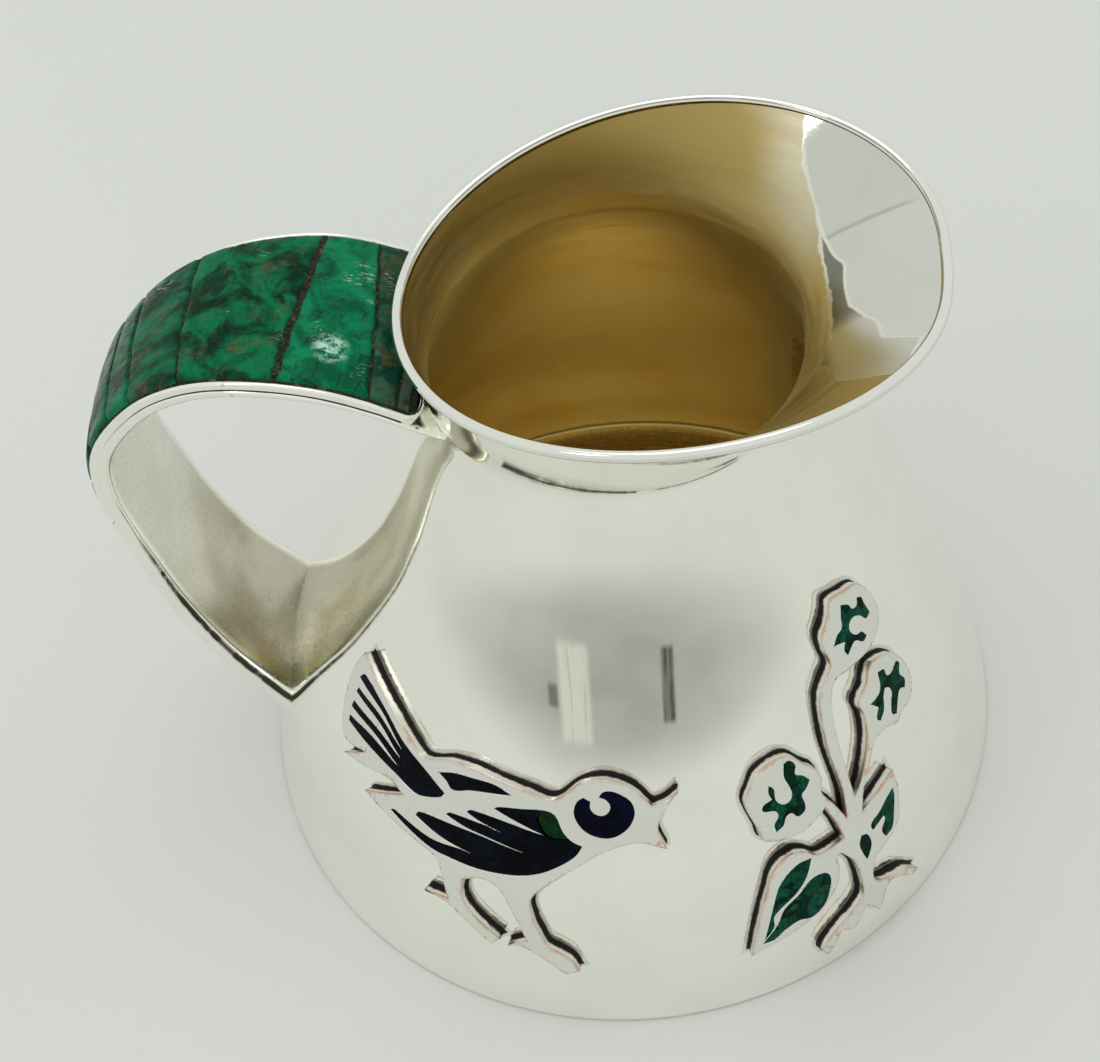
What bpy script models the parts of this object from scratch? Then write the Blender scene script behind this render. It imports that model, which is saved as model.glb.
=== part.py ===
"""Silver cream jug with a stone-set strap handle and two inlaid plaques.

Frame: origin at the centre of the base, on the table. +Z is up, +X points to the
pouring lip, -X to the handle, and the two plaques are on the -Y side.
All lengths below are in millimetres and are scaled to metres when a mesh is made.
"""
import math

import bmesh
import bpy
import numpy as np

MM = 0.001

# ---- body ----
WALL = 1.0
GAP = 0.3
COLUMNS = 72
# height, outer radius, from the base up to the neck
BODY_PROFILE = [
    (0, 55.0), (5, 54.2), (10, 52.9), (20, 50.2), (30, 46.3), (40, 41.7),
    (50, 37.2), (60, 32.9), (70, 28.8), (77, 26.1), (82, 24.9),
]
# height, how far the body's centre has moved towards the lip
BODY_LEAN = [(0, 0.0), (12, 0.2), (25, 0.9), (37, 2.6), (50, 3.9), (60, 4.0), (70, 3.7), (82, 3.6)]
NECK_HEIGHT = 82.0
NECK_RADIUS = 24.9
FLARE_ROWS = 5
FLARE_POWER = 1.6
BASE_THICKNESS = 1.0

# ---- mouth: an egg with its long end at the lip ----
MOUTH_CENTRE = 18.7
MOUTH_HALF_LENGTH = 34.4
MOUTH_LIP_PULL = 8.1
MOUTH_HALF_WIDTH = 27.0
MOUTH_WIDTH_PULL = 7.2
MOUTH_HEIGHT = 94.9
MOUTH_LIP_RISE = 1.9
MOUTH_SIDE_RISE = 1.8
RIM_WIRE_RADIUS = 0.75
# the sheet's outer edge lies this far inside and below the wire's outer line
MOUTH_EDGE_IN = 0.4
MOUTH_EDGE_DOWN = 0.55

# ---- handle ----
# x, z along the loop side of the strap, every 7.5 mm from inside the neck to inside the body
STRAP_PATH = [
    (-13.5, 78.6), (-19.3, 81.4), (-25.4, 84.9), (-32.2, 87.5), (-39.6, 88.1), (-47.0, 86.9),
    (-53.5, 83.4), (-58.8, 78.1), (-62.8, 71.8), (-63.8, 64.5), (-62.9, 57.1), (-61.4, 49.8),
    (-59.8, 42.5), (-57.5, 35.4), (-54.5, 28.5), (-50.6, 22.2), (-46.4, 16.0),
]
# Places along the strap are shares of its length, 0 in the neck and 1 in the lower body.
STRAP_HALF_WIDTHS = [(0, 14.4), (0.2, 13.8), (0.4, 10.9), (0.5, 10.3), (0.7, 11.1), (0.85, 11.9), (1, 13.4)]
STRAP_THICKNESSES = [(0, 1.7), (0.2, 2.05), (0.4, 2.6), (0.5, 2.8), (1, 3.0)]
STRAP_EDGE_RADIUS = 0.6
STRAP_ROWS = 44
CHANNEL_DEPTH = 1.1
CHANNEL_START = 0.097
CHANNEL_END = 0.6
CHANNEL_STEP = 0.008
RAIL_INSET = 0.35
RAIL_WIDTH = 0.8
RAIL_HEIGHT = CHANNEL_DEPTH - GAP
CORNER_START = 0.077
CORNER_WIDTH = 0.014
BEDDING_THICKNESS = 0.5
STONE_LIFT = 0.2
STONE_EDGE_HEIGHT = 0.7
STONE_DOME = 0.95
STONE_DOME_LOSS = 0.8
STONE_DOME_POWER = 2.4
STONE_END_DROP = 0.3
STONE_COLUMNS = 10
STONE_ROWS_PER_STRAP = 90
STONE_JOINT_HALF = 0.0022
# the first stone is a chip in the front corner, this wide where a whole row is 2
CORNER_STONE_SPAN = 0.6
# where each joint between stones crosses the middle of the strap, and how far it slants
STONE_JOINTS = [
    (0.092, 0.0), (0.107, 0.0), (0.142, 0.005), (0.216, -0.014), (0.331, 0.0), (0.402, 0.004),
    (0.445, 0.003), (0.495, 0.0), (0.55, 0.003), (0.598, 0.0),
]

# ---- plaques ----
# On the body, a is the distance round it at a radius of 50 mm, and z is the height.
PLAQUE_RADIUS = 50.0
PLAQUE_BOTTOM = 0.4
PLAQUE_TOP = 1.7
INLAY_DROP = 0.15
INLAY_INSET = 0.1
PLAQUE_CELL_GAP = 0.12

BIRD = [
    (-51.6, 43.3), (-45.8, 42.2), (-40.5, 40.9), (-36.0, 39.4), (-32.4, 38.3), (-28.0, 40.1),
    (-23.5, 40.8), (-19.0, 40.6), (-14.4, 40.3), (-10.1, 39.9), (-8.2, 41.4), (-6.5, 42.7),
    (-3.1, 43.6), (0.4, 43.0), (2.5, 41.9), (5.0, 39.6), (6.9, 40.2), (8.8, 41.4),
    (5.9, 36.7), (7.3, 33.2), (2.8, 34.4), (-2.1, 32.8), (-4.1, 31.3), (-7.6, 28.4),
    (-10.8, 24.6), (-10.3, 21.3), (-9.2, 18.9), (-8.2, 16.9), (-6.5, 15.9), (-5.0, 14.7),
    (-4.0, 12.7), (-5.9, 11.8), (-8.5, 14.1), (-11.2, 15.7), (-13.6, 15.6), (-11.0, 17.2),
    (-12.2, 19.8), (-13.9, 22.8), (-15.8, 25.1), (-18.3, 25.6), (-20.8, 24.4), (-20.7, 21.8),
    (-19.1, 19.5), (-16.8, 17.8), (-14.7, 16.2), (-15.9, 14.8), (-19.7, 17.4), (-22.1, 19.1),
    (-24.1, 19.6), (-26.3, 19.7), (-22.6, 20.1), (-24.1, 23.6), (-25.5, 25.7), (-28.3, 26.4),
    (-32.0, 26.9), (-36.3, 27.4), (-40.0, 27.8), (-33.6, 31.6), (-36.9, 32.1), (-42.6, 30.5),
    (-46.3, 29.6), (-42.7, 32.4), (-47.2, 31.2), (-49.6, 32.8), (-51.6, 36.3), (-52.4, 40.0),
]
BIRD_TAIL = [
    (-50.1, 40.0), (-49.2, 41.0), (-42.6, 40.1), (-36.9, 38.2), (-31.5, 36.8), (-27.3, 35.3),
    (-27.7, 34.6), (-30.8, 33.2), (-32.3, 33.1), (-36.2, 33.6), (-42.1, 33.8), (-48.2, 33.8),
    (-48.4, 34.4), (-42.6, 35.1), (-36.3, 34.7), (-42.1, 35.9), (-49.0, 35.7), (-49.0, 36.5),
    (-42.1, 36.7), (-36.3, 35.9), (-42.4, 37.8), (-49.4, 38.0), (-49.3, 38.6), (-42.9, 38.6),
    (-36.6, 37.1), (-42.6, 39.4),
]
BIRD_BACK = [
    (-29.1, 37.7), (-26.5, 38.7), (-23.0, 39.3), (-19.7, 39.6), (-16.6, 39.0), (-20.1, 38.4),
    (-23.3, 37.6), (-26.1, 36.5), (-27.4, 37.2),
]
BIRD_WING = [
    (-34.5, 28.4), (-34.0, 28.7), (-27.0, 28.1), (-22.1, 28.7), (-16.1, 29.1), (-20.6, 28.9),
    (-25.7, 29.3), (-30.3, 30.2), (-30.0, 30.8), (-25.6, 31.5), (-19.8, 31.8), (-13.1, 31.4),
    (-18.3, 32.1), (-22.4, 32.3), (-25.8, 32.7), (-25.3, 33.1), (-19.5, 33.5), (-13.5, 33.1),
    (-17.1, 33.5), (-20.8, 34.0), (-22.8, 34.4), (-22.3, 34.8), (-17.5, 35.0), (-10.8, 34.6),
    (-13.6, 35.3), (-18.8, 36.4), (-18.3, 36.7), (-15.0, 37.4), (-12.4, 37.8), (-12.2, 36.4),
    (-10.2, 34.3), (-6.6, 34.3), (-5.0, 33.7), (-5.7, 32.3), (-7.5, 30.7), (-10.1, 29.0),
    (-12.8, 28.0), (-15.9, 27.4), (-19.4, 27.0), (-23.3, 26.9), (-26.6, 26.9), (-30.8, 27.7),
]
BIRD_WING_STONE = [(-12.0, 37.9), (-9.5, 37.5), (-8.1, 35.5), (-7.0, 34.6), (-9.9, 34.6), (-11.7, 36.4)]
# the wing's cell holds both the dark inlay and the green chip
CHIP_SIDE = BIRD_WING.index((-12.4, 37.8))
BIRD_WING_CELL = BIRD_WING[:CHIP_SIDE] + [(-11.1, 38.0), (-9.5, 37.5), (-8.1, 35.5)] + BIRD_WING[CHIP_SIDE + 3:]
BIRD_EYE = [
    (-6.7, 38.6), (-6.1, 37.3), (-4.8, 36.1), (-3.0, 35.4), (-1.0, 35.3), (0.6, 36.0),
    (1.8, 37.3), (2.2, 38.9), (1.6, 40.4), (0.1, 41.4), (-1.5, 41.9), (-2.7, 41.7),
    (-3.1, 41.1), (-2.1, 40.8), (-1.3, 39.9), (-1.5, 38.9), (-2.4, 38.3), (-3.6, 38.5),
    (-4.5, 39.3), (-4.6, 40.3), (-5.6, 40.7), (-6.4, 40.1),
]

FLOWER = [
    (36.6, 29.5), (37.8, 30.7), (39.8, 34.3), (40.9, 36.8), (41.3, 39.9), (40.9, 42.0),
    (43.3, 43.5), (44.4, 44.9), (46.1, 45.6), (50.4, 43.8), (52.5, 40.8), (52.7, 37.1),
    (50.9, 35.0), (48.5, 34.9), (47.2, 34.2), (44.3, 35.2), (42.0, 34.9), (40.1, 32.4),
    (38.3, 29.5), (37.4, 26.3), (44.1, 28.3), (44.4, 25.3), (43.9, 22.8), (42.9, 19.9),
    (41.2, 18.6), (39.7, 18.1), (37.7, 16.9), (37.4, 12.9), (42.2, 10.3), (44.4, 7.8),
    (43.3, 7.6), (40.2, 10.3), (38.7, 9.9), (37.8, 8.1), (36.9, 6.8), (35.2, 9.7),
    (34.0, 8.0), (32.7, 7.1), (30.8, 8.2), (30.0, 6.9), (28.3, 5.0), (27.8, 6.6),
    (29.8, 8.6), (32.4, 10.2), (34.5, 11.5), (35.1, 14.1), (34.5, 19.3), (32.8, 22.3),
    (32.1, 22.0), (32.1, 19.8), (31.1, 17.1), (28.2, 14.4), (23.6, 12.9), (18.2, 11.6),
    (19.8, 18.1), (21.4, 22.7), (22.7, 25.5), (25.2, 26.7), (27.4, 26.0), (29.2, 24.4),
    (31.5, 24.2), (33.7, 24.3), (32.7, 27.9), (31.3, 31.0), (30.4, 30.4), (27.8, 29.4),
    (25.4, 29.5), (23.1, 29.9), (21.2, 31.0), (20.6, 32.8), (18.9, 37.1), (19.8, 39.0),
    (21.1, 40.8), (24.2, 41.7), (26.7, 41.4), (29.3, 38.9), (30.7, 37.7), (31.5, 35.7),
    (31.2, 33.7), (33.1, 30.5), (34.7, 27.2), (34.7, 31.6), (33.9, 36.3), (33.4, 40.7),
    (34.0, 46.6), (35.8, 48.7), (37.6, 50.1), (37.3, 52.7), (37.7, 54.4), (39.3, 55.5),
    (40.9, 56.8), (42.0, 58.0), (45.9, 57.4), (49.0, 56.6), (50.7, 54.4), (51.2, 51.9),
    (50.8, 50.0), (49.0, 48.6), (46.9, 47.7), (44.8, 47.5), (42.0, 47.6), (40.3, 47.6),
    (38.0, 47.7), (36.7, 46.7), (35.7, 43.4), (35.6, 38.7), (36.0, 34.0),
]
TOP_BLOSSOM = [
    (43.7, 56.1), (45.2, 55.3), (45.6, 54.4), (46.9, 54.2), (47.6, 55.0), (48.5, 54.5),
    (48.5, 53.7), (48.9, 51.9), (47.8, 51.7), (46.8, 52.8), (45.2, 53.5), (43.8, 53.1),
    (43.4, 52.1), (44.4, 50.9), (45.7, 50.6), (46.4, 49.6), (45.5, 49.4), (43.8, 50.5),
    (42.6, 50.0), (41.6, 49.6), (41.2, 50.5), (42.0, 51.5), (40.3, 52.0), (39.4, 52.1),
    (40.7, 53.0), (42.2, 53.4), (42.8, 54.7),
]
RIGHT_BLOSSOM = [
    (46.3, 43.4), (47.6, 42.9), (47.8, 41.7), (49.1, 41.4), (50.7, 42.0), (51.2, 41.3),
    (50.5, 40.0), (51.2, 38.4), (50.7, 37.5), (49.6, 38.1), (48.4, 37.0), (47.5, 35.6),
    (46.7, 36.2), (47.1, 37.6), (47.9, 38.9), (47.6, 40.1), (46.7, 40.6), (45.9, 39.7),
    (45.2, 37.9), (44.1, 37.0), (43.6, 37.7), (44.5, 39.0), (43.1, 40.4), (44.7, 40.4),
    (45.9, 41.1),
]
LEFT_BLOSSOM = [
    (25.8, 40.6), (26.6, 40.7), (27.5, 39.6), (27.2, 38.4), (28.4, 37.6), (29.4, 36.5),
    (28.7, 35.6), (27.8, 35.0), (28.1, 33.6), (28.0, 32.5), (27.0, 32.2), (26.0, 33.2),
    (25.0, 33.0), (24.5, 31.9), (23.5, 31.4), (23.3, 32.5), (24.0, 33.5), (23.6, 34.5),
    (21.7, 35.2), (21.7, 35.8), (23.3, 36.3), (22.8, 37.5), (22.9, 38.4), (23.5, 37.7),
    (23.6, 36.0), (24.6, 34.9), (25.8, 34.8), (26.5, 35.7), (26.2, 37.2), (25.6, 38.8),
]
LEAF_UPPER = [
    (28.1, 24.4), (26.0, 24.5), (23.4, 22.7), (22.1, 19.8), (20.1, 13.7), (21.5, 15.7),
    (21.8, 17.8), (23.3, 18.8), (25.3, 20.1), (27.0, 21.9),
]
LEAF_LOWER = [
    (21.4, 13.3), (23.0, 14.3), (25.2, 14.9), (27.0, 14.3), (28.9, 15.3), (30.1, 17.7),
    (30.4, 19.7), (29.6, 20.8), (27.8, 21.0), (25.7, 19.5), (23.4, 18.1), (22.2, 15.8),
    (19.9, 13.3),
]
FORKED_LEAF = [
    (43.2, 25.6), (41.6, 24.9), (40.2, 24.0), (38.4, 23.2), (38.5, 22.2), (40.7, 23.0),
    (40.9, 22.3), (39.9, 20.8), (40.3, 19.4), (41.5, 19.8), (42.5, 22.2), (43.2, 24.4),
]
STEM_DROP = [(36.4, 22.6), (37.2, 22.2), (37.6, 20.4), (37.1, 19.1), (36.5, 18.2), (36.1, 19.9), (35.9, 21.5)]

# ---- materials: colour, metallic, roughness ----
SILVER = ((0.86, 0.85, 0.82), 1.0, 0.18)
SILVER_SATIN = ((0.80, 0.79, 0.75), 1.0, 0.32)
CEMENT = ((0.03, 0.04, 0.03), 0.0, 0.8)
ENAMEL_BLACK = ((0.01, 0.012, 0.03), 0.0, 0.25)
STONE_GREENS = [
    (0.05, 0.13, 0.09), (0.03, 0.16, 0.10), (0.02, 0.36, 0.22), (0.02, 0.25, 0.14), (0.02, 0.20, 0.11),
    (0.02, 0.28, 0.18), (0.03, 0.20, 0.13), (0.02, 0.24, 0.15), (0.03, 0.22, 0.13),
]


def material(name, spec):
    """Make a Principled material from (colour, metallic, roughness)."""
    colour, metallic, roughness = spec
    made = bpy.data.materials.new(name)
    made.use_nodes = True
    shader = made.node_tree.nodes["Principled BSDF"]
    shader.inputs["Base Color"].default_value = (*colour, 1.0)
    shader.inputs["Metallic"].default_value = metallic
    shader.inputs["Roughness"].default_value = roughness
    made.diffuse_color = (*colour, 1.0)
    return made


def smooth_curve(points, count):
    """Points spaced evenly in parameter along a Catmull-Rom curve through the given ones."""
    knots = np.array(points, float)
    padded = np.vstack([2 * knots[0] - knots[1], knots, 2 * knots[-1] - knots[-2]])
    result = []
    for step in np.linspace(0, len(knots) - 1, count):
        i = min(int(step), len(knots) - 2)
        t = step - i
        p0, p1, p2, p3 = padded[i:i + 4]
        blend = 2 * p1 + (p2 - p0) * t
        blend = blend + (2 * p0 - 5 * p1 + 4 * p2 - p3) * t * t
        blend = blend + (3 * p1 - p0 - 3 * p2 + p3) * t ** 3
        result.append(blend / 2)
    return np.array(result)


PROFILE = smooth_curve(BODY_PROFILE, 200)
LEAN = smooth_curve(BODY_LEAN, 200)


def body_radius(z):
    """Outer radius of the body below the neck."""
    return float(np.interp(z, PROFILE[:, 0], PROFILE[:, 1]))


def body_centre(z):
    """How far the middle of the body at this height lies from the base's axis, towards the lip."""
    return float(np.interp(z, LEAN[:, 0], LEAN[:, 1]))


def slope(curve, z):
    """How much a function of height changes for each millimetre."""
    return (curve(z + 0.5) - curve(z - 0.5)) if z > 0.5 else (curve(0.5) - curve(0)) * 2


def mouth_polar():
    """The mouth edge as angle, radius and height about the neck's axis."""
    t = np.linspace(-math.pi, math.pi, 721)
    x = MOUTH_CENTRE + MOUTH_HALF_LENGTH * np.cos(t) - MOUTH_LIP_PULL * np.cos(2 * t)
    y = MOUTH_HALF_WIDTH * np.sin(t) - MOUTH_WIDTH_PULL * np.sin(2 * t)
    z = MOUTH_HEIGHT + MOUTH_LIP_RISE * np.cos(t) - MOUTH_SIDE_RISE * np.cos(2 * t)
    z = z + 0.6 * np.cos(3 * t)
    x = x - BODY_LEAN[-1][1]
    return np.arctan2(y, x), np.hypot(x, y), z


MOUTH_ANGLE, MOUTH_RADIUS, MOUTH_Z = mouth_polar()


def mouth_at(angle):
    """Radius and height of the mouth edge in one direction."""
    wrapped = math.atan2(math.sin(angle), math.cos(angle))
    radius = np.interp(wrapped, MOUTH_ANGLE, MOUTH_RADIUS)
    height = np.interp(wrapped, MOUTH_ANGLE, MOUTH_Z)
    return float(radius), float(height)


def section(angle):
    """Outer outline of the body in one direction: (radius, height) from the base to the mouth."""
    outline = []
    for z in (0, 4, 10, 18, 28, 40, 52, 62, 68, 73, 78, NECK_HEIGHT):
        outline.append((body_radius(z), float(z)))
    radius, height = mouth_at(angle)
    radius -= MOUTH_EDGE_IN
    height -= MOUTH_EDGE_DOWN
    for i in range(1, FLARE_ROWS + 1):
        s = i / FLARE_ROWS
        r = NECK_RADIUS + (radius - NECK_RADIUS) * s ** FLARE_POWER
        z = NECK_HEIGHT + (height - NECK_HEIGHT) * s
        outline.append((r, z))
    return outline


def shifted(outline, distance):
    """The outline moved sideways by a distance, outwards when it is positive."""
    line = np.array(outline)
    along = np.gradient(line, axis=0)
    along /= np.hypot(along[:, 0], along[:, 1])[:, None]
    side = np.stack([along[:, 1], -along[:, 0]], axis=1)
    return line + side * distance


def make_object(name, bm, spec, smooth=True):
    """Turn a millimetre bmesh into a named object in metres with its own material."""
    bmesh.ops.recalc_face_normals(bm, faces=bm.faces)
    bmesh.ops.scale(bm, vec=(MM, MM, MM), verts=bm.verts)
    mesh = bpy.data.meshes.new(name)
    bm.to_mesh(mesh)
    bm.free()
    made = bpy.data.objects.new(name, mesh)
    bpy.context.scene.collection.objects.link(made)
    mesh.materials.append(material(name, spec))
    if smooth:
        mesh.shade_smooth()
        mesh.set_sharp_from_angle(angle=math.radians(35))
    return made


def grid_mesh(rows, close_rows=False, close_columns=True, cap=False):
    """Join rows of points into a surface. Each row has the same number of points."""
    bm = bmesh.new()
    grid = [[bm.verts.new(tuple(float(c) for c in point)) for point in row] for row in rows]
    row_pairs = len(grid) if close_rows else len(grid) - 1
    count = len(grid[0])
    column_pairs = count if close_columns else count - 1
    for i in range(row_pairs):
        upper = grid[(i + 1) % len(grid)]
        for j in range(column_pairs):
            k = (j + 1) % count
            bm.faces.new((grid[i][j], grid[i][k], upper[k], upper[j]))
    if cap:
        bm.faces.new(list(reversed(grid[0])))
        bm.faces.new(grid[-1])
    return bm


def turned_rows(outlines, angles):
    """Rows of points from one outline for each angle, with every height moved to the body's centre."""
    rows = []
    for i in range(len(outlines[0])):
        row = []
        for outline, angle in zip(outlines, angles):
            r, z = outline[i]
            row.append((body_centre(z) + r * math.cos(angle), r * math.sin(angle), z))
        rows.append(row)
    return rows


ANGLES = [2 * math.pi * i / COLUMNS for i in range(COLUMNS)]


def wall_section(angle):
    """Outer skin, inner skin and the centre of the rim wire in one direction."""
    outer = np.array(section(angle))
    inner = shifted(outer, -WALL)
    inner[0] = (outer[0][0] - WALL, 0.0)
    centre = (outer[-1] + inner[-1]) / 2
    along = outer[-1] - outer[-2]
    along /= np.hypot(*along)
    outer[-1] -= along * (RIM_WIRE_RADIUS + GAP)
    inner[-1] -= along * (RIM_WIRE_RADIUS + GAP)
    return outer, inner, centre


def build_body():
    """The thin shell: outer skin up to the mouth, over the edge and down the inner skin."""
    outlines = []
    for angle in ANGLES:
        outer, inner, centre = wall_section(angle)
        outlines.append(np.vstack([outer, inner[::-1]]))
    make_object("body_shell", grid_mesh(turned_rows(outlines, ANGLES), close_rows=True), SILVER)


def build_base():
    """A flat disc fitted inside the foot of the body."""
    radius = body_radius(0) - WALL - GAP - 0.2
    bm = bmesh.new()
    bmesh.ops.create_circle(bm, cap_ends=True, segments=COLUMNS, radius=radius)
    made = bmesh.ops.extrude_face_region(bm, geom=bm.faces[:])
    moved = [v for v in made["geom"] if isinstance(v, bmesh.types.BMVert)]
    bmesh.ops.translate(bm, vec=(0, 0, BASE_THICKNESS), verts=moved)
    make_object("base_plate", bm, SILVER_SATIN)


def build_rim():
    """A round wire along the mouth, just past the edge of the sheet."""
    rows = []
    for angle in ANGLES:
        centre = wall_section(angle)[2]
        row = []
        for j in range(10):
            turn = 2 * math.pi * j / 10
            r = centre[0] + RIM_WIRE_RADIUS * math.cos(turn)
            z = centre[1] + RIM_WIRE_RADIUS * math.sin(turn)
            row.append((body_centre(z) + r * math.cos(angle), r * math.sin(angle), z))
        rows.append(row)
    make_object("rim_wire", grid_mesh(rows, close_rows=True), SILVER)


def build_keepout():
    """A solid a gap larger than the body and rim. Handle pieces are trimmed by it."""
    outlines = []
    for angle in ANGLES:
        outer = section(angle)
        grown = [tuple(p) for p in shifted(outer, GAP + 0.1)]
        rim = mouth_at(angle)[0] + RIM_WIRE_RADIUS + GAP
        grown[0] = (grown[0][0], -5.0)
        grown[-1] = (rim, grown[-1][1] - RIM_WIRE_RADIUS)
        grown.append((rim, 130.0))
        outlines.append(grown)
    keepout = make_object("keepout", grid_mesh(turned_rows(outlines, ANGLES), cap=True), SILVER)
    keepout.hide_render = True
    keepout.display_type = "WIRE"
    return keepout


STRAP_LINE = smooth_curve(STRAP_PATH, 400)
LOOP_MIDDLE = (-45.0, 55.0)


def strap_point(s, y, height):
    """A point on the strap: s from 0 to 1 along it, y across, height outwards from the loop side."""
    place = s * (len(STRAP_LINE) - 1)
    i = int(min(max(place, 1), len(STRAP_LINE) - 3))
    here = STRAP_LINE[i] + (STRAP_LINE[i + 1] - STRAP_LINE[i]) * (place - i)
    along = STRAP_LINE[i + 2] - STRAP_LINE[i - 1]
    along = along / np.hypot(*along)
    out = np.array([along[1], -along[0]])
    if out[0] * (here[0] - LOOP_MIDDLE[0]) + out[1] * (here[1] - LOOP_MIDDLE[1]) < 0:
        out = -out
    x, z = here + out * height
    return (float(x), float(y), float(z))


HALF_WIDTHS = smooth_curve(STRAP_HALF_WIDTHS, 100)


def half_width(s):
    """Half the strap's width at s, narrowest half way along."""
    return float(np.interp(s, HALF_WIDTHS[:, 0], HALF_WIDTHS[:, 1]))


def strap_thickness(s):
    """Thickness of the strap at s, with its channel left out."""
    places, thicknesses = zip(*STRAP_THICKNESSES)
    channel = np.interp(s, [CHANNEL_END, CHANNEL_END + CHANNEL_STEP], [CHANNEL_DEPTH, 0])
    return float(np.interp(s, places, thicknesses) - channel)


def trim(piece, cutter):
    """Cut a piece back to the keepout solid."""
    cut = piece.modifiers.new("trim", "BOOLEAN")
    cut.operation = "DIFFERENCE"
    cut.object = cutter
    cut.solver = "EXACT"


def sweep(name, outline_at, places, spec):
    """Sweep a closed cross-section through places along the strap. outline_at(s) lists (y, height) points."""
    grid = []
    for s in places:
        grid.append([strap_point(s, y, h) for y, h in outline_at(s)])
    return make_object(name, grid_mesh(grid, cap=True), spec)


def strap_outline(s):
    """Flat band with rounded edges."""
    w = half_width(s)
    t = strap_thickness(s)
    r = min(STRAP_EDGE_RADIUS, t / 3)
    d = 0.3 * r
    return [
        (-w, r), (-w + d, d), (-w + r, 0), (w - r, 0), (w - d, d), (w, r),
        (w, t - r), (w - d, t - d), (w - r, t), (-w + r, t), (-w + d, t - d), (-w, t - r),
    ]


def build_handle(cutter):
    """Strap, channel walls, bedding and stones."""
    ends = [CHANNEL_END, CHANNEL_END + CHANNEL_STEP]
    strap = sweep("handle_strap", strap_outline, sorted([*np.linspace(0, 1, STRAP_ROWS), *ends]), SILVER)
    trim(strap, cutter)
    channel_stop = CHANNEL_END - 0.003
    for side, name in ((-1, "handle_rail_front"), (1, "handle_rail_rear")):
        def rail_outline(s, side=side):
            floor = strap_thickness(s) + GAP
            edge = side * (half_width(s) - RAIL_INSET)
            inner = edge - side * RAIL_WIDTH
            top = floor + RAIL_HEIGHT
            return [(edge, floor), (edge, top), (inner, top), (inner, floor)]
        rail = sweep(name, rail_outline, np.linspace(CHANNEL_START, channel_stop, 26), SILVER)
        trim(rail, cutter)

    for side, name in ((-1, "channel_corner_front"), (1, "channel_corner_rear")):
        def corner_outline(s, side=side):
            floor = strap_thickness(s) + GAP
            w = side * (half_width(s) - RAIL_INSET)
            return [(w, floor), (w, floor + RAIL_HEIGHT), (w / 4, floor + RAIL_HEIGHT), (w / 4, floor)]
        corner = sweep(name, corner_outline, np.linspace(CORNER_START, CORNER_START + CORNER_WIDTH, 3), SILVER)
        trim(corner, cutter)

    def bedding_outline(s):
        floor = strap_thickness(s) + GAP
        w = half_width(s) - RAIL_INSET - RAIL_WIDTH - GAP
        top = floor + BEDDING_THICKNESS
        return [(-w, floor), (-w, top), (w, top), (w, floor)]
    bedding = sweep("stone_bedding", bedding_outline, np.linspace(CHANNEL_START, channel_stop, 24), CEMENT)
    trim(bedding, cutter)
    build_stones(cutter)


def build_stones(cutter):
    """Stones side by side. Each has slanted ends, a flat bottom and a domed top."""
    for i in range(len(STONE_JOINTS) - 1):
        near_start, near_slant = STONE_JOINTS[i]
        far_start, far_slant = STONE_JOINTS[i + 1]
        steps = max(3, int((far_start - near_start) * STONE_ROWS_PER_STRAP))
        span = CORNER_STONE_SPAN if i == 0 else 2
        rows = []
        for k in range(steps + 1):
            f = k / steps
            upper = []
            lower = []
            for j in range(STONE_COLUMNS + 1):
                v = -1 + span * j / STONE_COLUMNS
                first = near_start + near_slant * v + STONE_JOINT_HALF
                last = far_start + far_slant * v - STONE_JOINT_HALF
                s = first + (last - first) * f
                w = half_width(s) - RAIL_INSET - RAIL_WIDTH - GAP
                bottom = strap_thickness(min(s, CHANNEL_END)) + GAP + BEDDING_THICKNESS + STONE_LIFT
                dome = STONE_DOME - STONE_DOME_LOSS * s
                dome = STONE_EDGE_HEIGHT + dome * (1 - abs(v) ** STONE_DOME_POWER)
                soften = STONE_END_DROP * (abs(2 * f - 1) ** 6)
                upper.append(strap_point(s, v * w, bottom + dome - soften))
                lower.append(strap_point(s, v * w, bottom))
            rows.append(upper + lower[::-1])
        name = "handle_stone_%d" % (i + 1)
        stone = make_object(name, grid_mesh(rows, cap=True), (STONE_GREENS[i], 0.0, 0.25))
        if i < 3:
            trim(stone, cutter)


def on_body(a, z, height):
    """The place on the body's front at distance a round it and height z, raised off the surface."""
    angle = a / PLAQUE_RADIUS
    side = math.sin(angle)
    front = -math.cos(angle)
    rise = -slope(body_radius, z) - slope(body_centre, z) * side
    size = math.hypot(1, rise)
    x = body_centre(z) + body_radius(z) * side + side * height / size
    y = body_radius(z) * front + front * height / size
    return (x, y, z + height * rise / size)


def offset_outline(points, distance):
    """Move a closed outline sideways, outwards for a positive distance."""
    line = np.array(points, float)
    area = 0.0
    for i in range(len(line)):
        x0, y0 = line[i - 1]
        x1, y1 = line[i]
        area += x0 * y1 - x1 * y0
    turn = 1 if area > 0 else -1
    result = []
    for i in range(len(line)):
        before = line[i] - line[i - 1]
        after = line[(i + 1) % len(line)] - line[i]
        n0 = np.array([before[1], -before[0]]) / np.hypot(*before)
        n1 = np.array([after[1], -after[0]]) / np.hypot(*after)
        mitre = n0 + n1
        scale = min(2.0 / max(float(mitre @ mitre), 1e-6), 1.6)
        result.append(tuple(line[i] + turn * distance * mitre * scale))
    return result


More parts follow.
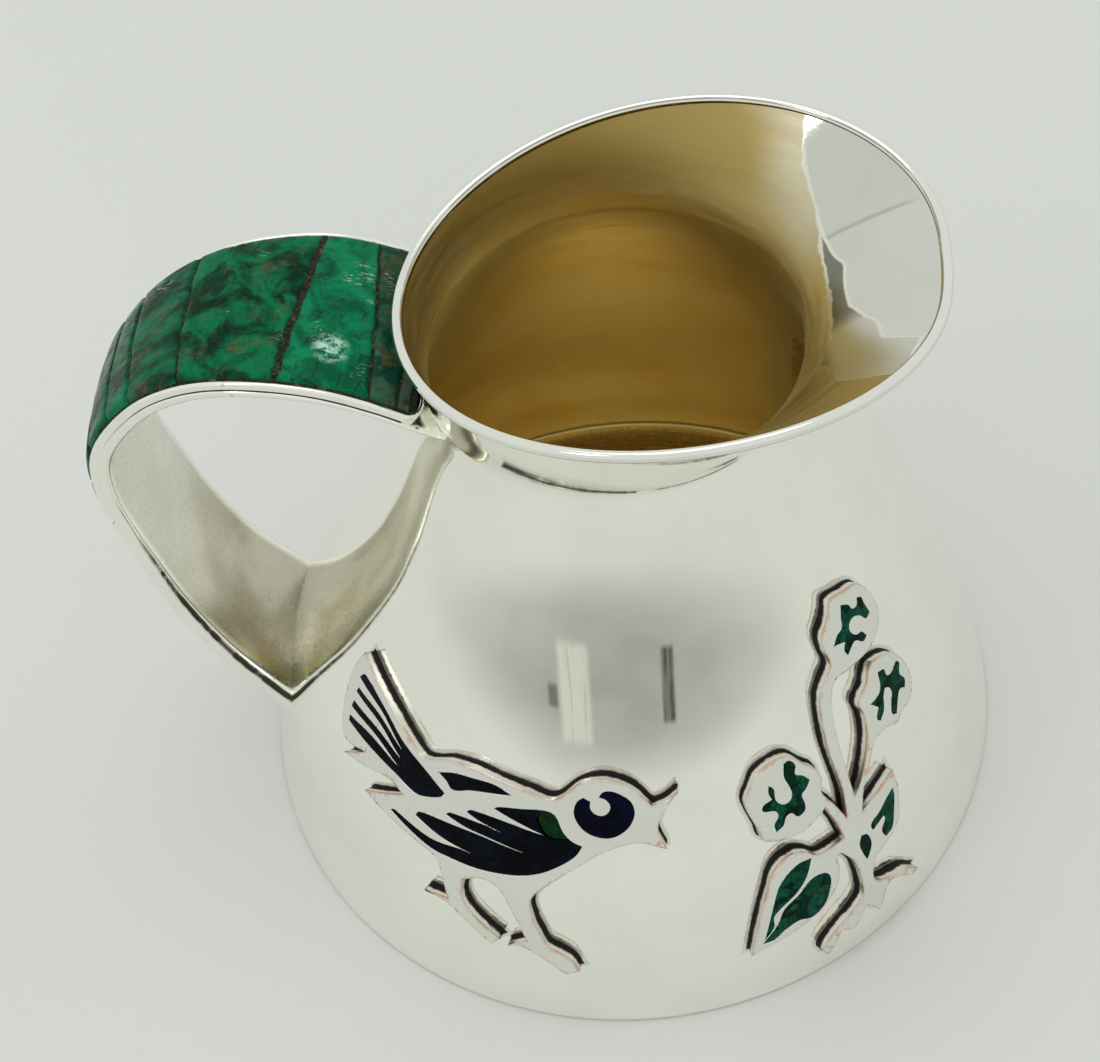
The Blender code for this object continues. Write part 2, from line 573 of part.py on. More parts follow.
def plate(name, outline, cells, bottom, top, spec, smooth=False):
    """A plate of even thickness wrapped on the body, with cells cut through it."""
    bm = bmesh.new()
    edges = []
    for loop in [outline] + cells:
        ring = [bm.verts.new((a, z, 0)) for a, z in loop]
        for i in range(len(ring)):
            edges.append(bm.edges.new((ring[i - 1], ring[i])))
    bmesh.ops.triangle_fill(bm, use_beauty=True, edges=edges)
    low = min(a for a, z in outline)
    high = max(a for a, z in outline)
    cuts = max(1, int((high - low) / 4.0))
    for i in range(1, cuts):
        a = low + (high - low) * i / cuts + 0.013
        bmesh.ops.bisect_plane(
            bm, geom=bm.verts[:] + bm.edges[:] + bm.faces[:],
            plane_co=(a, 0, 0), plane_no=(1, 0, 0), dist=1e-4,
        )
    bmesh.ops.triangulate(bm, faces=bm.faces[:])
    made = bmesh.ops.extrude_face_region(bm, geom=bm.faces[:])
    moved = {v for v in made["geom"] if isinstance(v, bmesh.types.BMVert)}
    for v in bm.verts:
        v.co = on_body(v.co.x, v.co.y, top if v in moved else bottom)
    return make_object(name, bm, spec, smooth)


def build_plaque(name, outline, cells, spec):
    """A pierced plate and the pieces set in its cells."""
    holes = [offset_outline(cell, PLAQUE_CELL_GAP) for cell in cells]
    plate(name, outline, holes, PLAQUE_BOTTOM, PLAQUE_TOP, spec)


def build_bird():
    """Bird plaque with its inlays."""
    cells = [BIRD_TAIL, BIRD_BACK, BIRD_WING_CELL, BIRD_EYE]
    build_plaque("bird_plaque", BIRD, cells, SILVER)
    inlays = [
        ("bird_tail_inlay", BIRD_TAIL, ENAMEL_BLACK),
        ("bird_back_inlay", BIRD_BACK, ENAMEL_BLACK),
        ("bird_wing_inlay", BIRD_WING, ENAMEL_BLACK),
        ("bird_wing_stone", BIRD_WING_STONE, ((0.02, 0.12, 0.05), 0.0, 0.3)),
        ("bird_eye_inlay", BIRD_EYE, ((0.005, 0.01, 0.06), 0.0, 0.2)),
    ]
    for name, outline, spec in inlays:
        plate(name, offset_outline(outline, -INLAY_INSET), [], PLAQUE_BOTTOM, PLAQUE_TOP - INLAY_DROP, spec)


def build_flower():
    """Flower plaque with its inlays."""
    green = ((0.01, 0.13, 0.08), 0.0, 0.3)
    inlays = [
        ("top_blossom_inlay", TOP_BLOSSOM),
        ("right_blossom_inlay", RIGHT_BLOSSOM),
        ("left_blossom_inlay", LEFT_BLOSSOM),
        ("leaf_upper_inlay", LEAF_UPPER),
        ("leaf_lower_inlay", LEAF_LOWER),
        ("forked_leaf_inlay", FORKED_LEAF),
        ("stem_drop_inlay", STEM_DROP),
    ]
    build_plaque("flower_plaque", FLOWER, [outline for name, outline in inlays], SILVER)
    for name, outline in inlays:
        plate(name, offset_outline(outline, -INLAY_INSET), [], PLAQUE_BOTTOM, PLAQUE_TOP - INLAY_DROP, green)


def main():
    for old in list(bpy.data.objects):
        bpy.data.objects.remove(old, do_unlink=True)
    build_body()
    build_base()
    build_rim()
    cutter = build_keepout()
    build_handle(cutter)
    build_bird()
    build_flower()


main()
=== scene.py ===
"""Looks of the silver cream jug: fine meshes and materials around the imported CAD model.

Frame: origin at the centre of the base, +Z up, +X to the pouring lip, -X to the handle, and the
plaques on the -Y side. Lengths are in millimetres until a mesh is made, which is in metres.
"""

import math

import bmesh
import bpy
import numpy as np
from mathutils import Matrix, Vector, noise


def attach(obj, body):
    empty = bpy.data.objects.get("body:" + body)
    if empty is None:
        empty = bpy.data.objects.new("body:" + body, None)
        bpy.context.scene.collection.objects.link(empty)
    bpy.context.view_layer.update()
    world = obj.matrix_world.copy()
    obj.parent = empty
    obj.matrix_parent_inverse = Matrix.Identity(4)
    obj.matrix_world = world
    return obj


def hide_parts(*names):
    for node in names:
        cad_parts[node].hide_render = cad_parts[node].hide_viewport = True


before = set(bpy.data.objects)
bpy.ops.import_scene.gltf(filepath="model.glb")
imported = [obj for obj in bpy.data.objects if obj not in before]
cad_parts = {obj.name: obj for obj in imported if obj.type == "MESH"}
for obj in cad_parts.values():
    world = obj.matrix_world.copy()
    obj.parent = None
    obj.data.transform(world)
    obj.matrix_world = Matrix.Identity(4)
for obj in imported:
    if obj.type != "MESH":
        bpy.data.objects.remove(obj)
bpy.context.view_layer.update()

MM = 0.001

# ---- the jug's driving dimensions, as in the CAD model ----
WALL = 1.0
BODY_PROFILE = [
    (0, 55.0), (5, 54.2), (10, 52.9), (20, 50.2), (30, 46.3), (40, 41.7),
    (50, 37.2), (60, 32.9), (70, 28.8), (77, 26.1), (82, 24.9),
]
BODY_LEAN = [(0, 0.0), (12, 0.2), (25, 0.9), (37, 2.6), (50, 3.9), (60, 4.0), (70, 3.7), (82, 3.6)]
NECK_HEIGHT = 82.0
NECK_RADIUS = 24.9
FLARE_POWER = 1.6
MOUTH_CENTRE = 18.7
MOUTH_HALF_LENGTH = 34.4
MOUTH_LIP_PULL = 8.1
MOUTH_HALF_WIDTH = 27.0
MOUTH_WIDTH_PULL = 7.2
MOUTH_HEIGHT = 94.9
MOUTH_WAVES = (1.9, -1.8, 0.6)
MOUTH_EDGE_IN = 0.4
MOUTH_EDGE_DOWN = 0.55
RIM_WIRE_RADIUS = 0.75
BASE_TOP = 1.0
INNER_CORNER = 0.7

STRAP_PATH = [
    (-13.5, 78.6), (-19.3, 81.4), (-25.4, 84.9), (-32.2, 87.5), (-39.6, 88.1), (-47.0, 86.9),
    (-53.5, 83.4), (-58.8, 78.1), (-62.8, 71.8), (-63.8, 64.5), (-62.9, 57.1), (-61.4, 49.8),
    (-59.8, 42.5), (-57.5, 35.4), (-54.5, 28.5), (-50.6, 22.2), (-46.4, 16.0),
]
LOOP_MIDDLE = (-45.0, 55.0)
STRAP_HALF_WIDTHS = [(0, 14.4), (0.2, 13.8), (0.4, 10.9), (0.5, 10.3), (0.7, 11.1), (0.85, 11.9), (1, 13.4)]
STRAP_THICKNESSES = [(0, 1.7), (0.2, 2.05), (0.4, 2.6), (0.5, 2.8), (1, 3.0)]
CHANNEL_DEPTH = 1.1
CHANNEL_START = 0.097
CHANNEL_END = 0.6
RAIL_INSET = 0.35
RAIL_WIDTH = 0.8
STONE_DOME = 0.95
STONE_DOME_LOSS = 0.8
STONE_DOME_POWER = 2.4
STRAP_LENGTH = 119.0
RAIL_STEPS = 120
RAIL_TURN = 0.019
BEDDING_COLUMNS = 40
STONE_COLUMNS = 44
STONE_JOINTS = [
    (0.092, 0.0), (0.107, 0.0), (0.142, 0.005), (0.216, -0.014), (0.331, 0.0), (0.402, 0.004),
    (0.445, 0.003), (0.495, 0.0), (0.55, 0.003), (0.598, 0.0),
]
CORNER_STONE_SPAN = 0.6
RAGGED_JOINT = 3

PLAQUE_RADIUS = 50.0
PLAQUE_TOP = 1.7
PLAQUE_FOOT = 0.02
PLAQUE_BEVEL = 0.16
INLAY_DROP = 0.15
INLAY_FOOT = 0.3
INLAY_BEVEL = 0.06


# ---------------------------------------------------------------- shapes

def smooth_curve(points, count, closed=False):
    """Points spaced evenly in parameter along a Catmull-Rom curve through the given ones."""
    knots = np.array(points, float)
    if closed:
        padded = np.vstack([knots[-1], knots, knots[0], knots[1]])
        steps = np.linspace(0, len(knots), count, endpoint=False)
    else:
        padded = np.vstack([2 * knots[0] - knots[1], knots, 2 * knots[-1] - knots[-2]])
        steps = np.linspace(0, len(knots) - 1, count)
    result = []
    for step in steps:
        i = min(int(step), len(padded) - 4)
        t = step - i
        p0, p1, p2, p3 = padded[i:i + 4]
        blend = 2 * p1 + (p2 - p0) * t
        blend = blend + (2 * p0 - 5 * p1 + 4 * p2 - p3) * t * t
        blend = blend + (3 * p1 - p0 - 3 * p2 + p3) * t ** 3
        result.append(blend / 2)
    return np.array(result)


PROFILE = smooth_curve(BODY_PROFILE, 400)
LEAN = smooth_curve(BODY_LEAN, 400)
STRAP_LINE = smooth_curve(STRAP_PATH, 1600)
HALF_WIDTHS = smooth_curve(STRAP_HALF_WIDTHS, 200)


def body_radius(z):
    return float(np.interp(z, PROFILE[:, 0], PROFILE[:, 1]))


def body_centre(z):
    return float(np.interp(z, LEAN[:, 0], LEAN[:, 1]))


def slope(curve, z):
    """How much a function of height changes for each millimetre."""
    low = max(z - 1.0, 0.0)
    return (curve(z + 1.0) - curve(low)) / (z + 1.0 - low)


def mouth_polar():
    """The mouth edge as angle, radius and height about the neck's axis."""
    t = np.linspace(-math.pi, math.pi, 1441)
    x = MOUTH_CENTRE + MOUTH_HALF_LENGTH * np.cos(t) - MOUTH_LIP_PULL * np.cos(2 * t) - BODY_LEAN[-1][1]
    y = MOUTH_HALF_WIDTH * np.sin(t) - MOUTH_WIDTH_PULL * np.sin(2 * t)
    z = MOUTH_HEIGHT
    for count, wave in enumerate(MOUTH_WAVES, 1):
        z = z + wave * np.cos(count * t)
    return np.arctan2(y, x), np.hypot(x, y), z


MOUTH = mouth_polar()


def mouth_at(angle):
    """Radius and height of the mouth edge in one direction."""
    wrapped = math.atan2(math.sin(angle), math.cos(angle))
    return float(np.interp(wrapped, MOUTH[0], MOUTH[1])), float(np.interp(wrapped, MOUTH[0], MOUTH[2]))


def flare_edge(angle):
    """Radius and height of the sheet's outer edge in one direction."""
    radius, height = mouth_at(angle)
    return radius - MOUTH_EDGE_IN, height - MOUTH_EDGE_DOWN


def flare_point(angle, s):
    """Outer skin of the flare, s from 0 at the neck to 1 at the edge."""
    radius, height = flare_edge(angle)
    return NECK_RADIUS + (radius - NECK_RADIUS) * s ** FLARE_POWER, NECK_HEIGHT + (height - NECK_HEIGHT) * s


def outer_outline(angle, low_rows=90, flare_rows=44):
    outline = [(body_radius(z), z) for z in np.linspace(0, NECK_HEIGHT, low_rows)]
    outline += [flare_point(angle, s) for s in np.linspace(0, 1, flare_rows + 1)[1:]]
    return np.array(outline)


def shifted(outline, distance):
    along = np.gradient(outline, axis=0)
    along /= np.hypot(along[:, 0], along[:, 1])[:, None]
    return outline + np.stack([along[:, 1], -along[:, 0]], axis=1) * distance


def skin_distance(x, y, z):
    """How far a point lies outside the body's outer skin, sideways."""
    cx = body_centre(min(z, NECK_HEIGHT))
    reach = math.hypot(x - cx, y)
    if z <= NECK_HEIGHT:
        return reach - body_radius(max(z, 0))
    edge, height = flare_edge(math.atan2(y, x - cx))
    s = min((z - NECK_HEIGHT) / (height - NECK_HEIGHT), 1.0)
    return reach - (NECK_RADIUS + (edge - NECK_RADIUS) * s ** FLARE_POWER)


def half_width(s):
    return float(np.interp(s, HALF_WIDTHS[:, 0], HALF_WIDTHS[:, 1]))


def strap_thickness(s):
    """Whole thickness of the strap at s. Over the channel the sheet is thinner by CHANNEL_DEPTH."""
    places, thicknesses = zip(*STRAP_THICKNESSES)
    return float(np.interp(s, places, thicknesses))


def stone_dome(s, v):
    """How far the stones rise at s along the strap and v across it, from -1 to 1."""
    return (STONE_DOME - STONE_DOME_LOSS * s) * (1 - abs(v) ** STONE_DOME_POWER)


def strap_point(s, y, height):
    """A point on the strap: s from 0 to 1 along it, y across, height outwards from the loop side."""
    place = s * (len(STRAP_LINE) - 1)
    i = int(min(max(place, 4), len(STRAP_LINE) - 6))
    here = STRAP_LINE[i] + (STRAP_LINE[i + 1] - STRAP_LINE[i]) * (place - i)
    along = STRAP_LINE[i + 5] - STRAP_LINE[i - 4]
    along = along / np.hypot(*along)
    out = np.array([along[1], -along[0]])
    if out[0] * (here[0] - LOOP_MIDDLE[0]) + out[1] * (here[1] - LOOP_MIDDLE[1]) < 0:
        out = -out
    x, z = here + out * height
    return (float(x), float(y), float(z))


def clear_place(y, height, sunk, low=True):
    """The place along the strap where this line leaves the body's skin, sunk a little into it."""
    inside, outside = (0.0, 0.3) if low else (1.0, 0.75)
    if skin_distance(*strap_point(inside, y, height)) + sunk > 0:
        return inside
    for _ in range(22):
        middle = (inside + outside) / 2
        if skin_distance(*strap_point(middle, y, height)) + sunk > 0:
            outside = middle
        else:
            inside = middle
    return outside


def on_body(a, z, height):
    """Place on the body's front, a round it and z up, raised off the surface, and the outward direction."""
    angle = a / PLAQUE_RADIUS
    side = math.sin(angle)
    front = -math.cos(angle)
    rise = -slope(body_radius, z) - slope(body_centre, z) * side
    size = math.hypot(1, rise)
    out = np.array([side / size, front / size, rise / size])
    foot = np.array([body_centre(z) + body_radius(z) * side, body_radius(z) * front, z])
    return foot + out * height, out


def off_body(point, height):
    """The a and z of a point that is a known height off the body."""
    z = point[2]
    for _ in range(12):
        angle = math.atan2(point[0] - body_centre(z), -point[1])
        place, out = on_body(angle * PLAQUE_RADIUS, z, height)
        z += point[2] - place[2]
    return angle * PLAQUE_RADIUS, z


# ---------------------------------------------------------------- meshes

def finish_mesh(name, verts, faces, material, nodes, sharp=40, marks=None, normals=None):
    """A piece in metres that rides on the jug and stands for the CAD nodes named."""
    mesh = bpy.data.meshes.new(name)
    mesh.from_pydata([tuple(float(c) * MM for c in v) for v in verts], [], faces)
    bm = bmesh.new()
    bm.from_mesh(mesh)
    if normals is None:
        bmesh.ops.recalc_face_normals(bm, faces=bm.faces)
    bm.to_mesh(mesh)
    bm.free()
    for label, values in (marks or {}).items():
        mark = mesh.attributes.new(label, "FLOAT", "POINT")
        mark.data.foreach_set("value", np.array(values, np.float32))
    mesh.shade_smooth()
    if normals is not None:
        mesh.normals_split_custom_set_from_vertices([tuple(n) for n in normals])
    elif sharp:
        mesh.set_sharp_from_angle(angle=math.radians(sharp))
    mesh.materials.append(material)
    piece = bpy.data.objects.new(name, mesh)
    bpy.context.scene.collection.objects.link(piece)
    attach(piece, "root")
    if nodes:
        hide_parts(*nodes)
    return piece


def grid_faces(rows, columns, close_rows=False, close_columns=False, start=0):
    faces = []
    for i in range(rows if close_rows else rows - 1):
        for j in range(columns if close_columns else columns - 1):
            k = (j + 1) % columns
            m = (i + 1) % rows
            faces.append((start + i * columns + j, start + i * columns + k,
                          start + m * columns + k, start + m * columns + j))
    return faces


def loft(rows, close_rows=False, close_columns=True, cap=False):
    """Join rows of points into a surface."""
    columns = len(rows[0])
    verts = [p for row in rows for p in row]
    faces = grid_faces(len(rows), columns, close_rows, close_columns)
    if cap:
        faces.append(tuple(range(columns)))
        faces.append(tuple(range((len(rows) - 1) * columns, len(rows) * columns))[::-1])
    return verts, faces


# ---------------------------------------------------------------- materials

class Shader:
    """A small helper that adds nodes to a material and joins them."""

    def __init__(self, name):
        self.material = bpy.data.materials.new(name)
        self.material.use_nodes = True
        self.tree = self.material.node_tree
        self.out = self.tree.nodes["Principled BSDF"]
        self.place = self.add("ShaderNodeTexCoord").outputs["Object"]

    def add(self, kind, **settings):
        node = self.tree.nodes.new(kind)
        for key, value in settings.items():
            setattr(node, key, value)
        return node

    def feed(self, socket, value):
        if isinstance(value, bpy.types.NodeSocket):
            self.tree.links.new(value, socket)
        elif isinstance(value, tuple) and len(value) == 3 and socket.type == "RGBA":
            socket.default_value = (*value, 1.0)
        else:
            socket.default_value = value

    def set(self, **values):
        for key, value in values.items():
            self.feed(self.out.inputs[key.replace("_", " ")], value)

    def scaled(self, scale, turn=(0, 0, 0)):
        """Object coordinates in millimetres times a scale for each axis."""
        node = self.add("ShaderNodeMapping")
        self.feed(node.inputs["Vector"], self.place)
        node.inputs["Rotation"].default_value = turn
        node.inputs["Scale"].default_value = tuple(1000 * c for c in scale)
        return node.outputs["Vector"]

    def noise(self, scale, detail=3.0, rough=0.5, warp=0.0, place=None):
        """Noise with a feature size of about 1/scale mm."""
        node = self.add("ShaderNodeTexNoise")
        if place is None:
            place = self.scaled((scale,) * 3)
        self.feed(node.inputs["Vector"], place)
        node.inputs["Scale"].default_value = 1.0
        node.inputs["Detail"].default_value = detail
        node.inputs["Roughness"].default_value = rough
        node.inputs["Distortion"].default_value = warp
        return node.outputs["Fac"]

    def cells(self, scale, feature="F1", place=None):
        node = self.add("ShaderNodeTexVoronoi", feature=feature)
        self.feed(node.inputs["Vector"], place or self.scaled((scale,) * 3))
        node.inputs["Scale"].default_value = 1.0
        return node.outputs["Distance"]

    def ramp(self, value, low, high, from_value=0.0, to_value=1.0):
        node = self.add("ShaderNodeMapRange", interpolation_type="SMOOTHSTEP")
        self.feed(node.inputs["Value"], value)
        node.inputs["From Min"].default_value = low
        node.inputs["From Max"].default_value = high
        node.inputs["To Min"].default_value = from_value
        node.inputs["To Max"].default_value = to_value
        return node.outputs["Result"]

    def math(self, kind, a, b=0.0):
        node = self.add("ShaderNodeMath", operation=kind)
        self.feed(node.inputs[0], a)
        self.feed(node.inputs[1], b)
        return node.outputs[0]

    def times(self, a, b):
        return self.math("MULTIPLY", a, b)

    def plus(self, a, b):
        return self.math("ADD", a, b)

    def minus(self, a, b):
        return self.math("SUBTRACT", a, b)

    def size(self, a):
        return self.math("ABSOLUTE", a)

    def mix(self, share, a, b):
        node = self.add("ShaderNodeMix", data_type="RGBA", blend_type="MIX")
        self.feed(node.inputs["Factor"], share)
        self.feed(node.inputs[6], a)
        self.feed(node.inputs[7], b)
        return node.outputs[2]

    def mark(self, label):
        return self.add("ShaderNodeAttribute", attribute_name=label).outputs["Fac"]

    def bump(self, height, depth, strength=1.0, before=None):
        """Bump of a depth in millimetres."""
        node = self.add("ShaderNodeBump")
        self.feed(node.inputs["Height"], height)
        node.inputs["Distance"].default_value = depth * MM
        node.inputs["Strength"].default_value = strength
        if before is not None:
            self.feed(node.inputs["Normal"], before)
        return node.outputs["Normal"]

    def axis(self, index):
        node = self.add("ShaderNodeSeparateXYZ")
        self.feed(node.inputs[0], self.scaled((1, 1, 1)))
        return node.outputs[index]


# the middle of the painted highlight on the broad stone
STONE_PAINTED_HIGHLIGHT = (-30.6, -7.2, 90.5)
# the grey cloud of the painted reflection on the front of the body: middle and reach as (x, z)
CLOUD_MIDDLE = (3.0, 57.0)
CLOUD_REACH = (15.0, 10.0)


def silver_colours(shader, tone=(0.955, 0.955, 0.885)):
    """Base colour of lightly used silver, with the fine noise and the specks that it is made from."""
    cloud = shader.noise(0.09, 4)
    fine = shader.noise(1.6, 5, 0.65)
    specks = shader.ramp(shader.noise(0.9, 6, 0.75), 0.68, 0.76)
    colour = shader.mix(shader.ramp(cloud, 0.35, 0.7), tone, tuple(c * 0.965 for c in tone))
    colour = shader.mix(shader.times(specks, 0.35), colour, (0.55, 0.52, 0.46))
    return colour, fine, specks


def box_mask(shader, x_range, z_range, soft):
    """1 inside an upright rectangle on the front of the body, fading over soft."""
    x_middle, x_half = sum(x_range) / 2, (x_range[1] - x_range[0]) / 2
    z_middle, z_half = sum(z_range) / 2, (z_range[1] - z_range[0]) / 2
    across = shader.size(shader.minus(shader.axis(0), x_middle))
    along = shader.size(shader.minus(shader.axis(2), z_middle))
    across = shader.ramp(across, x_half - soft, x_half + soft, 1.0, 0.0)
    return shader.times(across, shader.ramp(along, z_half - 2 * soft, z_half + 2 * soft, 1.0, 0.0))


def front_painted_reflection(shader, colour):
    """Painted reflection: a soft grey cloud with a pale bar and a dark bar in it, in place of what the
    silver would reflect.
    """
    across = shader.times(shader.minus(shader.axis(0), CLOUD_MIDDLE[0]), 1 / CLOUD_REACH[0])
    along = shader.times(shader.minus(shader.axis(2), CLOUD_MIDDLE[1]), 1 / CLOUD_REACH[1])
    reach = shader.plus(shader.times(across, across), shader.times(along, along))
    front = shader.ramp(shader.axis(1), -22.0, -16.0, 1.0, 0.0)
    cloud = shader.times(shader.ramp(reach, 0.0, 3.0, 0.74, 0.0), front)
    cloud = shader.times(cloud, shader.ramp(shader.noise(0.12, 3), 0.3, 0.7, 0.8, 1.0))
    colour = shader.mix(cloud, colour, (0.36, 0.355, 0.31))
    streak = shader.noise(1, 3, 0.6, place=shader.scaled((1.6, 0.0, 0.08)))
    bar = shader.times(box_mask(shader, (-4.1, -0.2), (47.4, 61.4), 0.5), front)
    colour = shader.mix(shader.times(bar, 0.9), colour, (0.90, 0.90, 0.80))
    lines = shader.times(bar, shader.ramp(streak, 0.52, 0.66, 0.0, 0.35))
    colour = shader.mix(lines, colour, (0.45, 0.44, 0.36))
    dark = shader.times(box_mask(shader, (9.1, 10.6), (50.4, 61.0), 0.3), front)
    dark = shader.times(dark, shader.ramp(streak, 0.4, 0.6, 0.7, 1.0))
    spot = shader.times(box_mask(shader, (-5.6, -4.4), (52.0, 55.2), 0.3), front)
    return shader.mix(shader.math("MAXIMUM", dark, shader.times(spot, 0.7)), colour, (0.13, 0.125, 0.10))


def body_silver():
    shader = Shader("polished_silver")
    colour, fine, specks = silver_colours(shader)
    # painted reflection: a grey cloud with a pale bar and a dark bar on the body's front
    colour = front_painted_reflection(shader, colour)
    brushed = shader.noise(1, 4, 0.6, place=shader.scaled((0.35, 0.35, 2.6)))
    rough = shader.ramp(fine, 0.3, 0.75, 0.045, 0.075)
    rough = shader.plus(rough, shader.ramp(brushed, 0.35, 0.75, 0.0, 0.035))
    rough = shader.plus(rough, shader.times(specks, 0.12))
    gilt_reach = shader.mark("gilt")
    wander = shader.times(shader.minus(shader.noise(0.4, 2, 0.5), 0.5), 1.2)
    gilt = shader.ramp(shader.plus(gilt_reach, wander), -0.15, 0.35)
    streak = shader.noise(1, 5, 0.62, place=shader.scaled((0.11, 0.11, 1.5)))
    gold = shader.mix(shader.ramp(streak, 0.3, 0.72), (0.98, 0.82, 0.36), (1.0, 0.89, 0.48))
    gold = shader.mix(shader.ramp(shader.noise(0.06, 3), 0.4, 0.7), gold, (0.93, 0.76, 0.30))
    # painted reflection: the gold high on the inside of the flare is darkened as if it reflected darker
    # surroundings
    flare = shader.ramp(shader.axis(2), 80.0, 90.0)
    gold = shader.mix(shader.times(flare, 0.85), gold, (0.36, 0.25, 0.07))
    # the band beyond the gilt stop is rougher, and its darkened colour, nearly black on the far side, is
    # painted reflection
    dull_band_and_painted_reflection = shader.plus(shader.mark("dull_band_and_painted_reflection"), shader.times(wander, 0.25))
    dull_band_and_painted_reflection = shader.times(shader.ramp(dull_band_and_painted_reflection, -0.1, 0.15), shader.ramp(shader.mark("dull_band_and_painted_reflection"), -8.0, -7.9))
    far = shader.ramp(shader.axis(1), -5.0, -1.5)
    deep = shader.mix(far, (0.62, 0.61, 0.53), (0.12, 0.11, 0.08))
    colour = shader.mix(shader.times(dull_band_and_painted_reflection, 0.85), colour, deep)
    inside = shader.ramp(shader.mark("gilt"), -19.9, -19.5)
    # painted reflection: the spout's silver is darkened to the brightness of what it reflects, the far pane
    # more than the near one
    pane = shader.mix(shader.ramp(shader.axis(1), 9.5, 11.0), (0.58, 0.59, 0.53), (0.54, 0.545, 0.49))
    pane = shader.mix(shader.ramp(shader.noise(0.06, 2), 0.4, 0.65, 0.0, 0.4), pane, (0.45, 0.45, 0.40))
    # a darker line along y = 10.6 on the spout's silver, ending near x = 40
    spout_dark_line = shader.size(shader.minus(shader.axis(1), 10.6))
    spout_dark_line_end = shader.ramp(shader.axis(0), 39.0, 42.0, 1.0, 0.0)
    spout_dark_line = shader.times(shader.ramp(spout_dark_line, 0.1, 0.45, 0.75, 0.0), spout_dark_line_end)
    pane = shader.mix(spout_dark_line, pane, (0.22, 0.22, 0.18))
    colour = shader.mix(shader.times(inside, shader.ramp(dull_band_and_painted_reflection, -0.1, 0.15, 1.0, 0.0)), colour, pane)
    line = shader.size(shader.plus(shader.mark("dull_band_and_painted_reflection"), shader.times(wander, 0.25)))
    line = shader.ramp(line, 0.12, 0.3, 1.0, 0.0)
    edge = shader.ramp(shader.size(shader.plus(gilt_reach, wander)), 0.15, 0.4, 1.0, 0.0)
    colour = shader.mix(shader.math("MAXIMUM", line, edge), colour, (0.80, 0.79, 0.68))
    thin = shader.times(shader.ramp(gilt_reach, 0.0, 8.0, 0.8, 0.0), shader.ramp(shader.axis(1), 4.0, 16.0))
    gold = shader.mix(thin, gold, (0.70, 0.66, 0.50))
    rough = shader.plus(rough, shader.times(dull_band_and_painted_reflection, 0.15))
    colour = shader.mix(gilt, colour, gold)
    gold_rough = shader.ramp(streak, 0.3, 0.75, 0.40, 0.52)
    node = shader.add("ShaderNodeMix")
    shader.feed(node.inputs["Factor"], gilt)
    shader.feed(node.inputs["A"], rough)
    shader.feed(node.inputs["B"], gold_rough)
    height = shader.mix(gilt, shader.noise(0.5, 3), streak)
    normal = shader.bump(height, 0.006)
    normal = shader.bump(fine, 0.002, 1.0, normal)
    shader.set(Base_Color=colour, Metallic=1.0, Roughness=node.outputs["Result"], Normal=normal)
    return shader.material


def handle_silver():
    """Brighter edges, a satin underside with dark pits, black polish left in the groove, and a painted dark
    reflection line along the lower near edge.
    """
    shader = Shader("handle_silver")
    colour, fine, _ = silver_colours(shader)
    patina_and_painted_reflection = shader.mark("patina_and_painted_reflection")
    pits = shader.ramp(shader.cells(0.45), 0.0, 0.2, 1.0, 0.0)
    pits = shader.times(pits, shader.ramp(shader.noise(0.25, 3), 0.5, 0.66))
    # this mark holds patina in the groove and a painted dark reflection line on the lower near edge
    stain_and_painted_line = shader.times(shader.ramp(shader.noise(0.35, 4, 0.65), 0.42, 0.62), patina_and_painted_reflection)
    colour = shader.mix(pits, colour, (0.34, 0.31, 0.26))
    colour = shader.mix(shader.math("MINIMUM", shader.plus(stain_and_painted_line, patina_and_painted_reflection), 1.0), colour, (0.05, 0.045, 0.035))
    rough = shader.ramp(fine, 0.3, 0.75, 0.10, 0.2)
    inside = shader.mark("inside")
    rough = shader.plus(rough, shader.times(inside, 0.14))
    warm = shader.times(inside, shader.ramp(shader.noise(0.07, 3), 0.35, 0.65, 0.6, 1.0))
    satin = shader.mix(shader.ramp(shader.axis(2), 18.0, 62.0), (0.35, 0.31, 0.215), (0.78, 0.77, 0.69))
    brown = shader.ramp(shader.noise(0.12, 3), 0.52, 0.68, 0.0, 0.5)
    brown = shader.times(brown, shader.ramp(shader.axis(2), 20.0, 45.0, 1.0, 0.0))
    satin = shader.mix(brown, satin, (0.30, 0.20, 0.13))
    olive = shader.times(shader.ramp(shader.axis(1), -9.9, -8.6, 0.8, 0.0), inside)
    olive = shader.times(olive, shader.ramp(shader.axis(2), 26.0, 36.0, 1.0, 0.0))
    satin = shader.mix(olive, satin, (0.50, 0.44, 0.10))
    colour = shader.mix(warm, colour, satin)
    rough = shader.plus(rough, shader.times(pits, 0.3))
    normal = shader.bump(shader.noise(0.25, 2), 0.006)
    normal = shader.bump(pits, -0.02, 1.0, normal)
    shader.set(Base_Color=colour, Metallic=1.0, Roughness=rough, Normal=normal)
    return shader.material


def rim_silver():
    shader = Shader("rim_silver")
    colour, fine, _ = silver_colours(shader, (0.86, 0.86, 0.80))
    # painted reflection: dark lines on the inner side of the wire
    lines = shader.times(shader.mark("patina_and_painted_reflection"), shader.ramp(shader.noise(0.2, 4, 0.6), 0.3, 0.55, 0.35, 1.0))
    colour = shader.mix(lines, colour, (0.05, 0.045, 0.03))
    rough = shader.ramp(fine, 0.3, 0.75, 0.07, 0.14)
    normal = shader.bump(shader.noise(0.3, 2), 0.02)
    shader.set(Base_Color=colour, Metallic=1.0, Roughness=rough, Normal=normal)
    return shader.material


